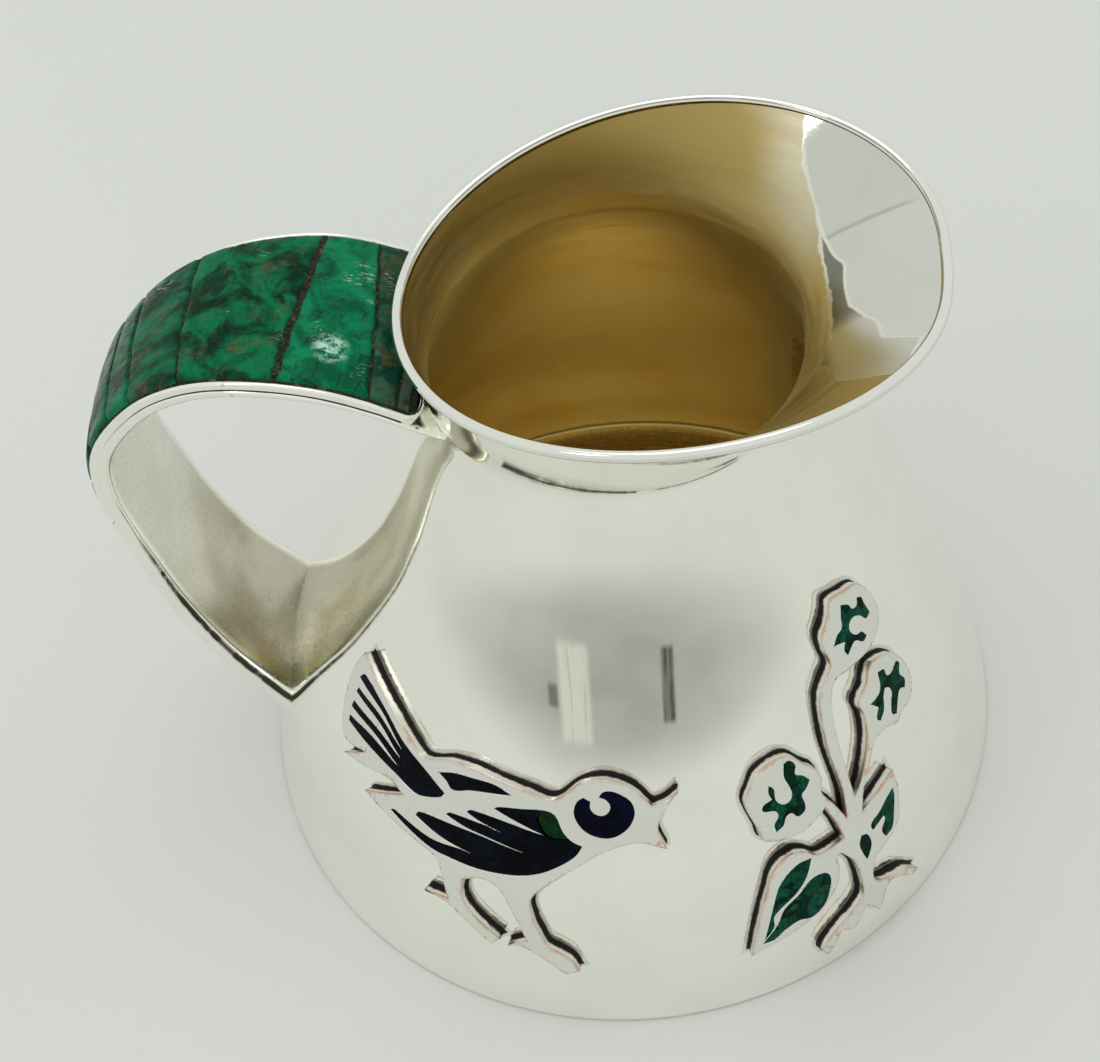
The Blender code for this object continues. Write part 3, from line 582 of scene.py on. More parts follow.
def plaque_silver():
    """Pale faces, a coppery line along the edges and black left at the foot of the walls."""
    shader = Shader("plaque_silver")
    colour, fine, _ = silver_colours(shader, (0.80, 0.805, 0.745))
    edge = shader.ramp(shader.mark("edge"), 0.35, 0.85)
    depth = shader.mark("depth")
    patches = shader.ramp(shader.noise(0.22, 3), 0.42, 0.6)
    copper = shader.times(edge, shader.plus(shader.times(patches, 0.6), 0.35))
    colour = shader.mix(copper, colour, (0.66, 0.40, 0.29))
    patchy = shader.times(shader.noise(0.13, 2), 0.9)
    black = shader.plus(depth, shader.times(shader.noise(0.9, 5, 0.65), 0.8))
    black = shader.ramp(shader.plus(black, patchy), 1.12, 1.5)
    colour = shader.mix(black, colour, (0.045, 0.035, 0.03))
    rough = shader.ramp(fine, 0.3, 0.75, 0.22, 0.3)
    rough = shader.plus(rough, shader.times(black, 0.3))
    normal = shader.bump(shader.noise(0.3, 2), 0.002)
    shader.set(Base_Color=colour, Metallic=0.85, Roughness=rough, Normal=normal, IOR=1.2)
    return shader.material


def base_silver():
    shader = Shader("base_silver")
    colour, fine, _ = silver_colours(shader, (0.86, 0.85, 0.82))
    x = shader.axis(0)
    y = shader.axis(1)
    reach = shader.math("SQRT", shader.plus(shader.math("POWER", x, 2.0), shader.math("POWER", y, 2.0)))
    rings = shader.math("SINE", shader.times(reach, 7.0))
    top = shader.ramp(shader.axis(2), 0.6, 0.8)
    wash = shader.ramp(shader.noise(0.3, 5, 0.6), 0.35, 0.7)
    gold = shader.mix(wash, (0.82, 0.62, 0.26), (0.92, 0.70, 0.42))
    colour = shader.mix(top, colour, gold)
    normal = shader.bump(shader.plus(rings, shader.noise(1.2, 4)), 0.012)
    rough = shader.ramp(fine, 0.3, 0.75, 0.24, 0.38)
    shader.set(Base_Color=colour, Metallic=1.0, Roughness=rough, Normal=normal)
    return shader.material


def stone(name, deep, bright, seed, matrix=0.4, stretch=(1, 1, 1), ochre=(0.11, 0.10, 0.03), painted_highlight_middle=None):
    """Polished green stone with mottled colour, dark veins, ochre matrix and small pits, with small painted
    glints and, where a middle is given, a painted highlight patch.
    """
    shader = Shader(name)
    place = shader.add("ShaderNodeMapping")
    shader.feed(place.inputs["Vector"], shader.place)
    place.inputs["Location"].default_value = (seed * 3.7, seed * 1.3, seed * 2.1)
    place.inputs["Scale"].default_value = tuple(1000 * c for c in stretch)

    def at(scale):
        node = shader.add("ShaderNodeVectorMath", operation="SCALE")
        shader.feed(node.inputs[0], place.outputs["Vector"])
        node.inputs["Scale"].default_value = scale
        return node.outputs[0]
    mottle = shader.noise(1, 6, 0.62, 0.6, at(0.22))
    grain = shader.noise(1, 6, 0.7, 0.2, at(1.1))
    colour = shader.mix(shader.ramp(mottle, 0.38, 0.62), deep, bright)
    colour = shader.mix(shader.ramp(grain, 0.5, 0.75, 0.0, 0.55), colour, tuple(c * 0.22 for c in deep))
    pale = tuple(min(c * 1.5, 1) for c in bright)
    colour = shader.mix(shader.ramp(grain, 0.22, 0.42, 0.4, 0.0), colour, pale)
    veins = shader.cells(1, "DISTANCE_TO_EDGE", at(0.3))
    veins = shader.ramp(shader.plus(veins, shader.times(grain, 0.14)), 0.06, 0.11, 1.0, 0.0)
    veins = shader.times(veins, shader.ramp(mottle, 0.42, 0.6, 1.0, 0.0))
    patch = shader.ramp(shader.noise(1, 5, 0.65, 0.4, at(0.3)), 0.66 - matrix * 0.3, 0.82 - matrix * 0.3)
    colour = shader.mix(shader.times(veins, 0.75), colour, (0.012, 0.02, 0.012))
    brown = shader.mix(shader.ramp(grain, 0.35, 0.65), ochre, (0.02, 0.05, 0.025))
    colour = shader.mix(shader.times(patch, 0.75), colour, brown)
    # painted highlights: small pale glints in thin streaks along the strap
    painted_glint = shader.noise(1, 2, 0.5, 0.0, at(0.16))
    glint_streaks = shader.noise(1, 3, 0.6, 0.0, shader.scaled((0.9, 6.5, 0.9)))
    painted_glint = shader.times(shader.ramp(painted_glint, 0.61, 0.67), shader.ramp(glint_streaks, 0.58, 0.64))
    colour = shader.mix(shader.times(painted_glint, 0.85), colour, (0.50, 0.66, 0.56))
    # painted highlight: a pale broken patch around the given middle
    if painted_highlight_middle:
        squares = []
        for index, middle in enumerate(painted_highlight_middle):
            away = shader.minus(shader.axis(index), middle)
            squares.append(shader.times(away, away))
        away = shader.plus(squares[0], shader.plus(squares[1], squares[2]))
        broken = shader.ramp(shader.noise(0.9, 5, 0.7), 0.44, 0.60)
        highlight_mask = shader.times(shader.ramp(away, 0.0, 7.5, 1.0, 0.0), broken)
        colour = shader.mix(highlight_mask, colour, (0.50, 0.78, 0.66))
    pits = shader.times(shader.ramp(shader.cells(1, "F1", at(0.9)), 0.0, 0.22, 1.0, 0.0), patch)
    rough = shader.ramp(grain, 0.3, 0.7, 0.12, 0.3)
    rough = shader.plus(rough, shader.times(patch, 0.18))
    normal = shader.bump(shader.noise(1, 4, 0.5, 0.0, at(0.35)), 0.22)
    normal = shader.bump(grain, 0.03, 1.0, normal)
    normal = shader.bump(shader.plus(pits, veins), -0.06, 1.0, normal)
    shader.set(Base_Color=colour, Metallic=0.0, Roughness=rough, Normal=normal, IOR=1.15)
    return shader.material


def inlay(name, deep, bright, seed):
    """Small dark chips set in cement, polished flush."""
    shader = Shader(name)
    chips = shader.add("ShaderNodeTexVoronoi", feature="F1")
    shader.feed(chips.inputs["Vector"], shader.scaled((0.55, 0.55, 0.55), (seed, 0.4, 0.2)))
    chips.inputs["Scale"].default_value = 1.0
    tone = shader.add("ShaderNodeSeparateColor")
    shader.feed(tone.inputs[0], chips.outputs["Color"])
    grain = shader.noise(1.4, 6, 0.7)
    colour = shader.mix(shader.ramp(tone.outputs[0], 0.1, 0.9), deep, bright)
    colour = shader.mix(shader.ramp(grain, 0.4, 0.7), colour, tuple(c * 0.35 for c in deep))
    rough = shader.ramp(grain, 0.3, 0.7, 0.1, 0.26)
    normal = shader.bump(shader.plus(tone.outputs[1], grain), 0.03)
    shader.set(Base_Color=colour, Metallic=0.0, Roughness=rough, Normal=normal, IOR=1.12)
    return shader.material


def cement():
    shader = Shader("dark_bedding")
    grain = shader.noise(2.2, 6, 0.7)
    colour = shader.mix(shader.ramp(grain, 0.35, 0.7), (0.008, 0.010, 0.007), (0.05, 0.055, 0.035))
    normal = shader.bump(grain, 0.12)
    rust = shader.ramp(shader.noise(0.9, 4, 0.6), 0.56, 0.66)
    colour = shader.mix(shader.times(rust, 0.7), colour, (0.16, 0.13, 0.06))
    rough = shader.ramp(grain, 0.3, 0.7, 0.35, 0.7)
    shader.set(Base_Color=colour, Roughness=rough, Normal=normal, IOR=1.15)
    return shader.material


# ---------------------------------------------------------------- body, base and rim

BODY_COLUMNS = 320
# the gold wash stops at a sloping line across the spout
GILT_STOP = [
    (-20, 42), (-17.5, 35.5), (-15.5, 31.5), (-9.5, 29.5), (-3, 30.5), (3, 30.5), (10.5, 29.5),
    (15, 29), (20, 27.5), (25, 28), (28, 26),
]
# beyond it lies a rougher band with an uneven edge, its darker colour painted reflection
REFLECTION_BAND_STOP = [
    (-20, 40), (-15, 39.5), (-12, 41), (-9.5, 36.5), (-5.5, 36), (-4.5, 35), (-1, 33), (2, 32.5),
    (6, 32.5), (7.5, 31.5), (11, 30), (15, 29), (28, 26),
]


def build_body(material):
    """Outer skin from the foot to the wire, then the inner skin down to the base."""
    rows = []
    gilt = []
    dull_band_and_painted_reflection = []
    angles = [2 * math.pi * j / BODY_COLUMNS for j in range(BODY_COLUMNS)]
    sections = []
    for angle in angles:
        outer = outer_outline(angle)
        inner = shifted(outer, -WALL)
        foot = [(54.1, 0.0), (54.6, 0.06), (54.9, 0.25)]
        keep = inner[inner[:, 1] > BASE_TOP + 0.8]
        r0 = keep[0][0]
        turn = [(r0 - INNER_CORNER + INNER_CORNER * math.sin(t),
                 BASE_TOP + INNER_CORNER - INNER_CORNER * math.cos(t) + 0.02)
                for t in np.linspace(0.05, math.pi / 2, 8)]
        outer[0] = (54.98, 0.6)
        sections.append(foot + [tuple(p) for p in outer] + [tuple(p) for p in keep[::-1]] + turn[::-1])
    for i in range(len(sections[0])):
        row = []
        for section, angle in zip(sections, angles):
            r, z = section[i]
            row.append((body_centre(z) + r * math.cos(angle), r * math.sin(angle), z))
        rows.append(row)
    outside = 3 + len(outer_outline(0.0))
    for i, row in enumerate(rows):
        for x, y, z in row:
            inside = i >= outside
            gilt.append(gilding(y, x, GILT_STOP) if inside else -20.0)
            dull_band_and_painted_reflection.append(gilding(y, x, REFLECTION_BAND_STOP) if inside else -20.0)
    verts, faces = loft(rows)
    marks = {"gilt": gilt, "dull_band_and_painted_reflection": dull_band_and_painted_reflection}
    finish_mesh("jug_body", verts, faces, material, ["body_shell"], 50, marks)


def gilding(y, x, stops):
    """Distance, in millimetres, on the near side of a line across the spout."""
    places, reach = zip(*stops)
    return float(np.interp(y, places, reach)) - x


def build_base(material):
    """Base plate, slightly hollow underneath, with a rounded edge."""
    outline = [(0.01, 0.35), (20, 0.32), (40, 0.25), (50, 0.12), (53.0, 0.0), (53.5, 0.1), (53.7, 0.6)]
    outline += [(53.6, 0.9), (53.2, BASE_TOP), (40, BASE_TOP), (20, BASE_TOP), (0.01, BASE_TOP)]
    line = np.array(outline)
    turns = np.linspace(0, 2 * math.pi, 160, endpoint=False)
    rows = [[(r * math.cos(t), r * math.sin(t), z) for t in turns] for r, z in line]
    verts, faces = loft(rows)
    finish_mesh("foot_plate", verts, faces, material, ["base_plate"], 50)


RIM_COLUMNS = 48
# dark lines on the inner side of the wire, by column: painted reflection
RIM_REFLECTION_LINES = {17: 0.5, 18: 0.7, 22: 0.6, 23: 0.9, 24: 0.9, 25: 0.8, 43: 0.4, 44: 0.7, 45: 0.7}


def build_rim(material):
    """Wire along the mouth."""
    rows = []
    patina_and_painted_reflection = []
    for j in range(BODY_COLUMNS):
        angle = 2 * math.pi * j / BODY_COLUMNS
        r, z = flare_edge(angle)
        inner = shifted(np.array([flare_point(angle, 0.98), (r, z)]), -WALL)[-1]
        centre = ((r + inner[0]) / 2, (z + inner[1]) / 2)
        row = []
        for k in range(RIM_COLUMNS):
            turn = 2 * math.pi * k / RIM_COLUMNS
            patina_and_painted_reflection.append(RIM_REFLECTION_LINES.get(k, 0.0))
            rr = centre[0] + RIM_WIRE_RADIUS * math.cos(turn)
            zz = centre[1] + RIM_WIRE_RADIUS * math.sin(turn)
            row.append((body_centre(zz) + rr * math.cos(angle), rr * math.sin(angle), zz))
        rows.append(row)
    verts, faces = loft(rows, close_rows=True)
    finish_mesh("mouth_wire", verts, faces, material, ["rim_wire"], 60, {"patina_and_painted_reflection": patina_and_painted_reflection})


# ---------------------------------------------------------------- handle

STRAP_STEPS = 260


def strap_section(s):
    """Closed outline of the strap as (y, height, patina and painted dark line, inside). The second half
    runs back over the top.
    """
    w = half_width(s)
    whole = strap_thickness(s)
    step = 1 / (1 + math.exp(-(s - CHANNEL_END - 0.004) * 900))
    t = whole - CHANNEL_DEPTH * (1 - step)
    low = min(0.5 + 1.1 * max(0.0, (s - 0.35) / 0.65), 0.48 * whole, 0.8 * t)
    top = min(0.3 + 0.5 * step, t - low)
    grime = (1 - step) * min(1.0, max(0.0, (0.5 - s) / 0.12))
    bottom = []
    upper = []
    # the shade below is a painted reflection: a dark line on the lower near edge of the loop, kept in the
    # same mark as the groove patina
    worn = min(1.0, max(0.0, (s - 0.62) / 0.12))
    for k, q in enumerate(np.linspace(math.pi / 2, 0, 9)):
        shade = worn * (0.0, 0.0, 0.1, 0.8, 1.0, 0.7, 0.0, 0.0, 0.0)[k]
        bottom.append((-(w - low + low * math.sin(q)), low - low * math.cos(q), shade, 0.0))
    for f in np.linspace(-1, 1, 22)[1:-1]:
        bottom.append((f * (w - low), 0.0, 0.0, 1.0))
    bottom += [(-y, h, 0.0, inside) for y, h, patina_and_painted_reflection, inside in bottom[8::-1]]
    for q in np.linspace(0, math.pi / 2, 9):
        upper.append((w - top + top * math.cos(q), t - top + top * math.sin(q), grime * (q > 1.2), 0.0))
    for f in np.linspace(1, -1, 22)[1:-1]:
        upper.append((f * (w - top), t, grime if abs(f) > 0.9 else 0.0, 0.0))
    upper += [(-y, h, patina_and_painted_reflection, inside) for y, h, patina_and_painted_reflection, inside in upper[8::-1]]
    return bottom + upper


def build_strap(material):
    """The strap, its ends following the body's skin."""
    count = len(strap_section(0.5))
    starts = [clear_place(y, h, 0.35) for y, h, patina_and_painted_reflection, inside in strap_section(0.08)]
    ends = [clear_place(y, h, 0.35, low=False) for y, h, patina_and_painted_reflection, inside in strap_section(0.95)]
    verts = []
    patina_and_painted_reflection = []
    inside = []
    for i in range(STRAP_STEPS + 1):
        for j in range(count):
            s = starts[j] + (ends[j] - starts[j]) * i / STRAP_STEPS
            y, h, grime, under = strap_section(s)[j]
            verts.append(strap_point(s, y, h))
            patina_and_painted_reflection.append(grime if s > CHANNEL_START else 0.0)
            inside.append(under)
    faces = grid_faces(STRAP_STEPS + 1, count, False, True)
    last = STRAP_STEPS * count
    for k in range(count // 2 - 1):
        end = (k, k + 1, count - 2 - k, count - 1 - k)
        faces.append(end)
        faces.append(tuple(last + j for j in reversed(end)))
    marks = {"patina_and_painted_reflection": patina_and_painted_reflection, "inside": inside}
    finish_mesh("handle_band", verts, faces, material, ["handle_strap"], 55, marks)


def wall_outline(inset, width, t):
    """Cross-section of a channel wall with a rounded top, as (distance in from its side, height)."""
    top = t + 0.02
    low = t - CHANNEL_DEPTH - 0.05
    r = width / 2
    points = [(inset, low)]
    for q in np.linspace(0, math.pi, 9):
        points.append((inset + r - r * math.cos(q), top - r * 0.8 + r * 0.8 * math.sin(q)))
    points.append((inset + width, low))
    return points


def build_rails(material):
    """The two side walls of the channel. At the rim each one turns in and ends under the wire."""
    for side, rail, corner in (
        (-1, "handle_rail_front", "channel_corner_front"), (1, "handle_rail_rear", "channel_corner_rear"),
    ):
        route = []
        for s in np.linspace(CHANNEL_END - 0.003, CHANNEL_START, RAIL_STEPS):
            route.append((s, 0.0))
        for q in np.linspace(0, math.pi / 2, 12)[1:]:
            route.append((CHANNEL_START - RAIL_TURN * math.sin(q), 3.0 * (1 - math.cos(q))))
        route += [(CHANNEL_START - RAIL_TURN, 4.6), (CHANNEL_START - RAIL_TURN, 6.2)]
        rows = []
        path = []
        for s, inward in route:
            w = half_width(s)
            path.append(np.array(strap_point(s, side * (w - RAIL_INSET - RAIL_WIDTH / 2 - inward), 0)))
        path = np.array(path)
        for i, (s, inward) in enumerate(route):
            t = strap_thickness(s)
            along = path[min(i + 1, len(path) - 1)] - path[max(i - 1, 0)]
            along = along / np.linalg.norm(along)
            up = np.array(strap_point(s, 0, 1.0)) - np.array(strap_point(s, 0, 0.0))
            across = np.cross(up, along)
            across = across / np.linalg.norm(across)
            row = []
            for inset, height in wall_outline(0.0, RAIL_WIDTH, t):
                row.append(path[i] + across * (inset - RAIL_WIDTH / 2) + up * height)
            rows.append(row)
        for name, part, node in (
            ("channel_wall" + rail[11:], rows[:RAIL_STEPS], rail),
            ("wall_turn" + corner[14:], rows[RAIL_STEPS - 1:], corner),
        ):
            verts, faces = loft(part, cap=True)
            finish_mesh(name, verts, faces, material, [node], 55, {"patina_and_painted_reflection": [0.0] * len(verts)})


def build_bedding(material):
    """Dark cement under and between the stones, a little uneven."""
    rows = []
    for s in np.linspace(CHANNEL_START - 0.012, CHANNEL_END - 0.002, 240):
        w = half_width(s) - RAIL_INSET - RAIL_WIDTH + 0.1
        row = []
        for j in range(BEDDING_COLUMNS + 1):
            v = -1 + 2 * j / BEDDING_COLUMNS
            dome = stone_dome(s, v)
            rough = 0.12 * noise.noise(Vector((s * 160, v * 14, 3.0)))
            height = strap_thickness(s) - 0.12 + dome * 0.92 + 0.42 * (1 - abs(v) ** 12) + rough
            place = max(s, clear_place(v * w, height, 0.1)) if s < 0.2 else s
            row.append(strap_point(place, v * w, height))
        rows.append(row)
    lower = []
    for s in np.linspace(CHANNEL_END - 0.002, CHANNEL_START, 120):
        w = half_width(s) - RAIL_INSET - RAIL_WIDTH + 0.1
        height = strap_thickness(s) - 0.95
        across = [(-1 + 2 * j / BEDDING_COLUMNS) * w for j in range(BEDDING_COLUMNS + 1)]
        lower.append([strap_point(s, y, height) for y in across])
    verts, faces = loft(rows + lower, close_rows=True, close_columns=False)
    finish_mesh("stone_cement", verts, faces, material, ["stone_bedding"], 0)


def joint_edge(joint, v, side):
    """How far a stone's edge lies from its joint line. The diagonal joint is wide and ragged."""
    wander = 0.0025 * noise.noise(Vector((v * 4.0, joint * 7.3, 0)))
    half = 0.0006
    if joint == RAGGED_JOINT:
        half = 0.0022 + 0.0035 * abs(noise.noise(Vector((v * 6.0, 2.0 + side, 0))))
    return wander + side * half


def build_stones(materials):
    """Polished stones with worn edges. Joints wander a little."""
    for i in range(len(STONE_JOINTS) - 1):
        near_start, near_slant = STONE_JOINTS[i]
        far_start, far_slant = STONE_JOINTS[i + 1]
        span = CORNER_STONE_SPAN if i == 0 else 2.0
        steps = max(10, int((far_start - near_start) * 420))
        length = (far_start - near_start) * STRAP_LENGTH
        top_rows = []
        foot_rows = []
        for k in range(steps + 1):
            f = k / steps
            row = []
            foot = []
            for j in range(STONE_COLUMNS + 1):
                v = -1 + span * j / STONE_COLUMNS
                first = near_start + near_slant * v + joint_edge(i, v, 1)
                last = far_start + far_slant * v + joint_edge(i + 1, v, -1)
                w = half_width(first + (last - first) * f) - RAIL_INSET - RAIL_WIDTH - 0.18
                if first < 0.2:
                    first = max(first, clear_place(v * w, strap_thickness(first) + 0.8, -0.15))
                    first = min(first, last - 0.004)
                s = first + (last - first) * f
                dome = stone_dome(s, v)
                edge = min(f, 1 - f) * max(length, 2.0)
                side = min(j, STONE_COLUMNS - j) / STONE_COLUMNS * span * w
                near = min(edge, side)
                worn = 0.45 * (1 - math.sqrt(max(0.0, 1 - (1 - min(near / 0.6, 1)) ** 2)))
                p = Vector((s * STRAP_LENGTH, v * w, i * 9.0))
                lumps = 0.10 * noise.noise(p * 0.25) + 0.045 * noise.noise(p * 0.8)
                height = strap_thickness(s) + 0.6 + dome - worn + lumps * min(near, 1)
                row.append(strap_point(s, v * w, height))
                foot.append(strap_point(s, v * w, strap_thickness(s) - 0.5))
            top_rows.append(row)
            foot_rows.append(foot)
        verts, faces = loft(top_rows, close_columns=False)
        ring = [(0, j) for j in range(STONE_COLUMNS + 1)]
        ring += [(k, STONE_COLUMNS) for k in range(1, steps + 1)]
        ring += [(steps, j) for j in range(STONE_COLUMNS - 1, -1, -1)]
        ring += [(k, 0) for k in range(steps - 1, 0, -1)]
        start = len(verts)
        verts = list(verts) + [foot_rows[k][j] for k, j in ring]
        count = len(ring)
        for n in range(count):
            k, j = ring[n]
            kk, jj = ring[(n + 1) % count]
            upper = k * (STONE_COLUMNS + 1) + j
            upper_next = kk * (STONE_COLUMNS + 1) + jj
            faces.append((upper_next, upper, start + n, start + (n + 1) % count))
        faces.append(tuple(range(start, start + count)))
        node = "handle_stone_%d" % (i + 1)
        finish_mesh("stone_%d" % (i + 1), verts, faces, materials[i], [node], 60)


# ---------------------------------------------------------------- plaques

def face_loops(node, height):
    """Outlines of a CAD plate's outer face, each a list of (a, z). The longest one comes first."""
    bm = bmesh.new()
    bm.from_mesh(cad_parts[node].data)
    bmesh.ops.remove_doubles(bm, verts=bm.verts, dist=1e-7)
    bm.normal_update()
    outer = set()
    for face in bm.faces:
        middle = face.calc_center_median() / MM
        a, z = off_body(middle, height)
        out = on_body(a, z, height)[1]
        if face.normal.dot(Vector(out)) > 0.6 and skin_height(middle) > height / 2:
            outer.add(face)
    following = {}
    for face in (f for f in bm.faces if f in outer):
        for loop in face.loops:
            others = [f for f in loop.edge.link_faces if f is not face]
            if not others or others[0] not in outer:
                following[loop.vert] = loop.link_loop_next.vert
    loops = []
    while following:
        start, vert = following.popitem()
        line = [start]
        while vert in following:
            line.append(vert)
            vert = following.pop(vert)
        loops.append([off_body(v.co / MM, height) for v in line])
    bm.free()
    loops.sort(key=loop_length, reverse=True)
    return [without_straight_points(line) for line in loops]


def skin_height(point):
    """How high a point stands off the body's skin, about."""
    z = point[2]
    reach = math.hypot(point[0] - body_centre(z), point[1]) - body_radius(z)
    return reach * 0.91


def loop_length(line):
    points = np.array(line)
    return float(np.hypot(*(points - np.roll(points, 1, axis=0)).T).sum())


def without_straight_points(line):
    """Leave out the points that lie on a straight stretch."""
    kept = []
    for i in range(len(line)):
        before = np.array(line[i]) - np.array(line[i - 1])
        after = np.array(line[(i + 1) % len(line)]) - np.array(line[i])
        turn = before[0] * after[1] - before[1] * after[0]
        if abs(turn) > 0.02 * np.hypot(*before) * np.hypot(*after):
            kept.append(line[i])
    return kept


def rounded_outline(line, corner=62, spacing=0.3):
    """A smooth outline through the points. It keeps corners that turn more than an angle."""
    points = np.array(line)
    count = len(points)
    before = points - np.roll(points, 1, axis=0)
    after = np.roll(points, -1, axis=0) - points
    turn = np.degrees(np.arccos(np.clip(
        (before * after).sum(1) / (np.hypot(*before.T) * np.hypot(*after.T)), -1, 1)))
    tangent = np.roll(points, -1, axis=0) - np.roll(points, 1, axis=0)
    result = []
    for i in range(count):
        k = (i + 1) % count
        p0, p1 = points[i], points[k]
        chord = np.hypot(*(p1 - p0))
        leave = after[i] / max(np.hypot(*after[i]), 1e-9)
        arrive = leave
        if turn[i] < corner:
            leave = tangent[i] / np.hypot(*tangent[i])
        if turn[k] < corner:
            arrive = tangent[k] / np.hypot(*tangent[k])
        steps = max(2, int(chord / spacing))
        for n in range(steps):
            t = n / steps
            h1 = 2 * t ** 3 - 3 * t ** 2 + 1
            h2 = t ** 3 - 2 * t ** 2 + t
            h3 = -2 * t ** 3 + 3 * t ** 2
            h4 = t ** 3 - t ** 2
            result.append(h1 * p0 + h2 * chord * leave + h3 * p1 + h4 * chord * arrive)
    return np.array(result)


def offset_outline(line, distance):
    """Move a closed outline sideways, outwards for a positive distance."""
    x, y = line.T
    area = float((np.roll(x, 1) * y - x * np.roll(y, 1)).sum())
    turn = 1 if area > 0 else -1
    before = line - np.roll(line, 1, axis=0)
    after = np.roll(line, -1, axis=0) - line
    n0 = np.stack([before[:, 1], -before[:, 0]], axis=1) / np.hypot(*before.T)[:, None]
    n1 = np.stack([after[:, 1], -after[:, 0]], axis=1) / np.hypot(*after.T)[:, None]
    mitre = n0 + n1
    scale = np.minimum(2.0 / np.maximum((mitre ** 2).sum(1), 1e-6), 1.5)
    return line + turn * distance * mitre * scale[:, None]


def wall_layers(foot, top, bevel, flange):
    """Steps up a wall and over its rounded edge: (sideways, height, lean of the normal, grime)."""
    layers = []
    if flange:
        layers += [(flange, foot, 1.0, 0.0), (flange * 0.45, foot + 0.01, 1.0, 0.4)]
        layers += [(0.12, foot + 0.03, 1.0, 1.0), (0.04, foot + 0.08, 0.4, 1.0)]
    for f, grime in ((0.0, 1.0), (0.25, 0.75), (0.5, 0.4), (0.75, 0.1), (1.0, 0.0)):
        layers.append((0.0, foot + 0.15 + (top - bevel - foot - 0.15) * f, 0.0, grime))
    for q in np.linspace(0, 1, 5)[1:]:
        angle = q * math.pi / 2
        layers.append((-bevel * (1 - math.cos(angle)), top - bevel + bevel * math.sin(angle), q, 0.0))
    return layers


def raised_plate(name, outline, cells, foot, top, bevel, material, slot, nodes, crown=0.0, flange=0.0):
    """A plate that follows the body: walls, a rounded edge and a filled face, with cells through it."""
    verts = []
    normals = []
    edge = []
    depth = []
    faces = []
    rings = []
    for index, line in enumerate([outline] + cells):
        way = 1 if index == 0 else -1
        size = 1.0 if index == 0 else 0.35
        layers = wall_layers(foot, top, bevel * size, flange if index == 0 else 0.0)
        ahead = np.roll(line, -1, axis=0) - np.roll(line, 1, axis=0)
        x, y = line.T
        turn = 1 if float((np.roll(x, 1) * y - x * np.roll(y, 1)).sum()) > 0 else -1
        side = np.stack([ahead[:, 1], -ahead[:, 0]], axis=1) * turn * way
        side /= np.hypot(*side.T)[:, None]
        start = len(verts)
        for shift, h, lean, grime in layers:
            moved = offset_outline(line, way * shift)
            for (a, z), (sa, sz) in zip(moved, side):
                place, out = on_body(a, z, h)
                east = on_body(a + 0.01, z, h)[0] - place
                north = on_body(a, z + 0.01, h)[0] - place
                sideways = east / np.linalg.norm(east) * sa + north / np.linalg.norm(north) * sz
                sideways /= np.linalg.norm(sideways)
                verts.append(place)
                normals.append(sideways * math.cos(lean * math.pi / 2) + out * math.sin(lean * math.pi / 2))
                edge.append(size * math.exp(-((h - top + bevel) / 0.26) ** 2))
                depth.append(grime)
        count = len(line)
        quads = grid_faces(len(layers), count, False, True, start)
        if turn * way < 0:
            quads = [q[::-1] for q in quads]
        faces += quads
        rings.append(list(range(start + (len(layers) - 1) * count, start + len(layers) * count)))
    bm = bmesh.new()
    flat = {}
    edges = []
    for ring, line in zip(rings, [outline] + cells):
        added = [bm.verts.new((a, z, 0)) for a, z in line]
        for index, vert in zip(ring, added):
            flat[vert] = index
        for i in range(len(added)):
            edges.append(bm.edges.new((added[i - 1], added[i])))
    bmesh.ops.triangle_fill(bm, use_beauty=True, edges=edges)
    low = outline.min(0)
    high = outline.max(0)
    for axis in (0, 1):
        for value in np.arange(low[axis] + 0.7, high[axis], 1.5):
            plane = [0.0, 0.0, 0.0]
            plane[axis] = value
            direction = [0.0, 0.0, 0.0]
            direction[axis] = 1.0
            geom = bm.verts[:] + bm.edges[:] + bm.faces[:]
            bmesh.ops.bisect_plane(bm, geom=geom, plane_co=plane, plane_no=direction, dist=1e-5)
    bmesh.ops.triangulate(bm, faces=bm.faces[:])
    bm.normal_update()
    border = np.array([v.co[:2] for v in flat])
    for vert in bm.verts:
        if vert in flat:
            continue
        near = float(np.hypot(*(border - np.array(vert.co[:2])).T).min())
        drop = bevel * max(0.0, 1 - near / max(bevel, 0.01)) * 0.5
        place, out = on_body(vert.co.x, vert.co.y, top - drop + crown * min(near / 1.5, 1.0))
        flat[vert] = len(verts)
        verts.append(place)
        normals.append(out)
        edge.append(0.0)
        depth.append(0.0)
    for face in bm.faces:
        indices = [flat[v] for v in face.verts]
        if face.normal.z < 0:
            indices.reverse()
        faces.append(tuple(indices))
    bm.free()
    finish_mesh(name, verts, faces, material, nodes, 0, {"edge": edge, "depth": depth}, normals)


BIRD_INLAYS = ["bird_tail_inlay", "bird_back_inlay", "bird_wing_inlay", "bird_wing_stone", "bird_eye_inlay"]
FLOWER_INLAYS = [
    "top_blossom_inlay", "right_blossom_inlay", "left_blossom_inlay", "leaf_upper_inlay",
    "leaf_lower_inlay", "forked_leaf_inlay", "stem_drop_inlay",
]
SHARP_CORNER = {"flower_plaque": 75, "bird_plaque": 58}


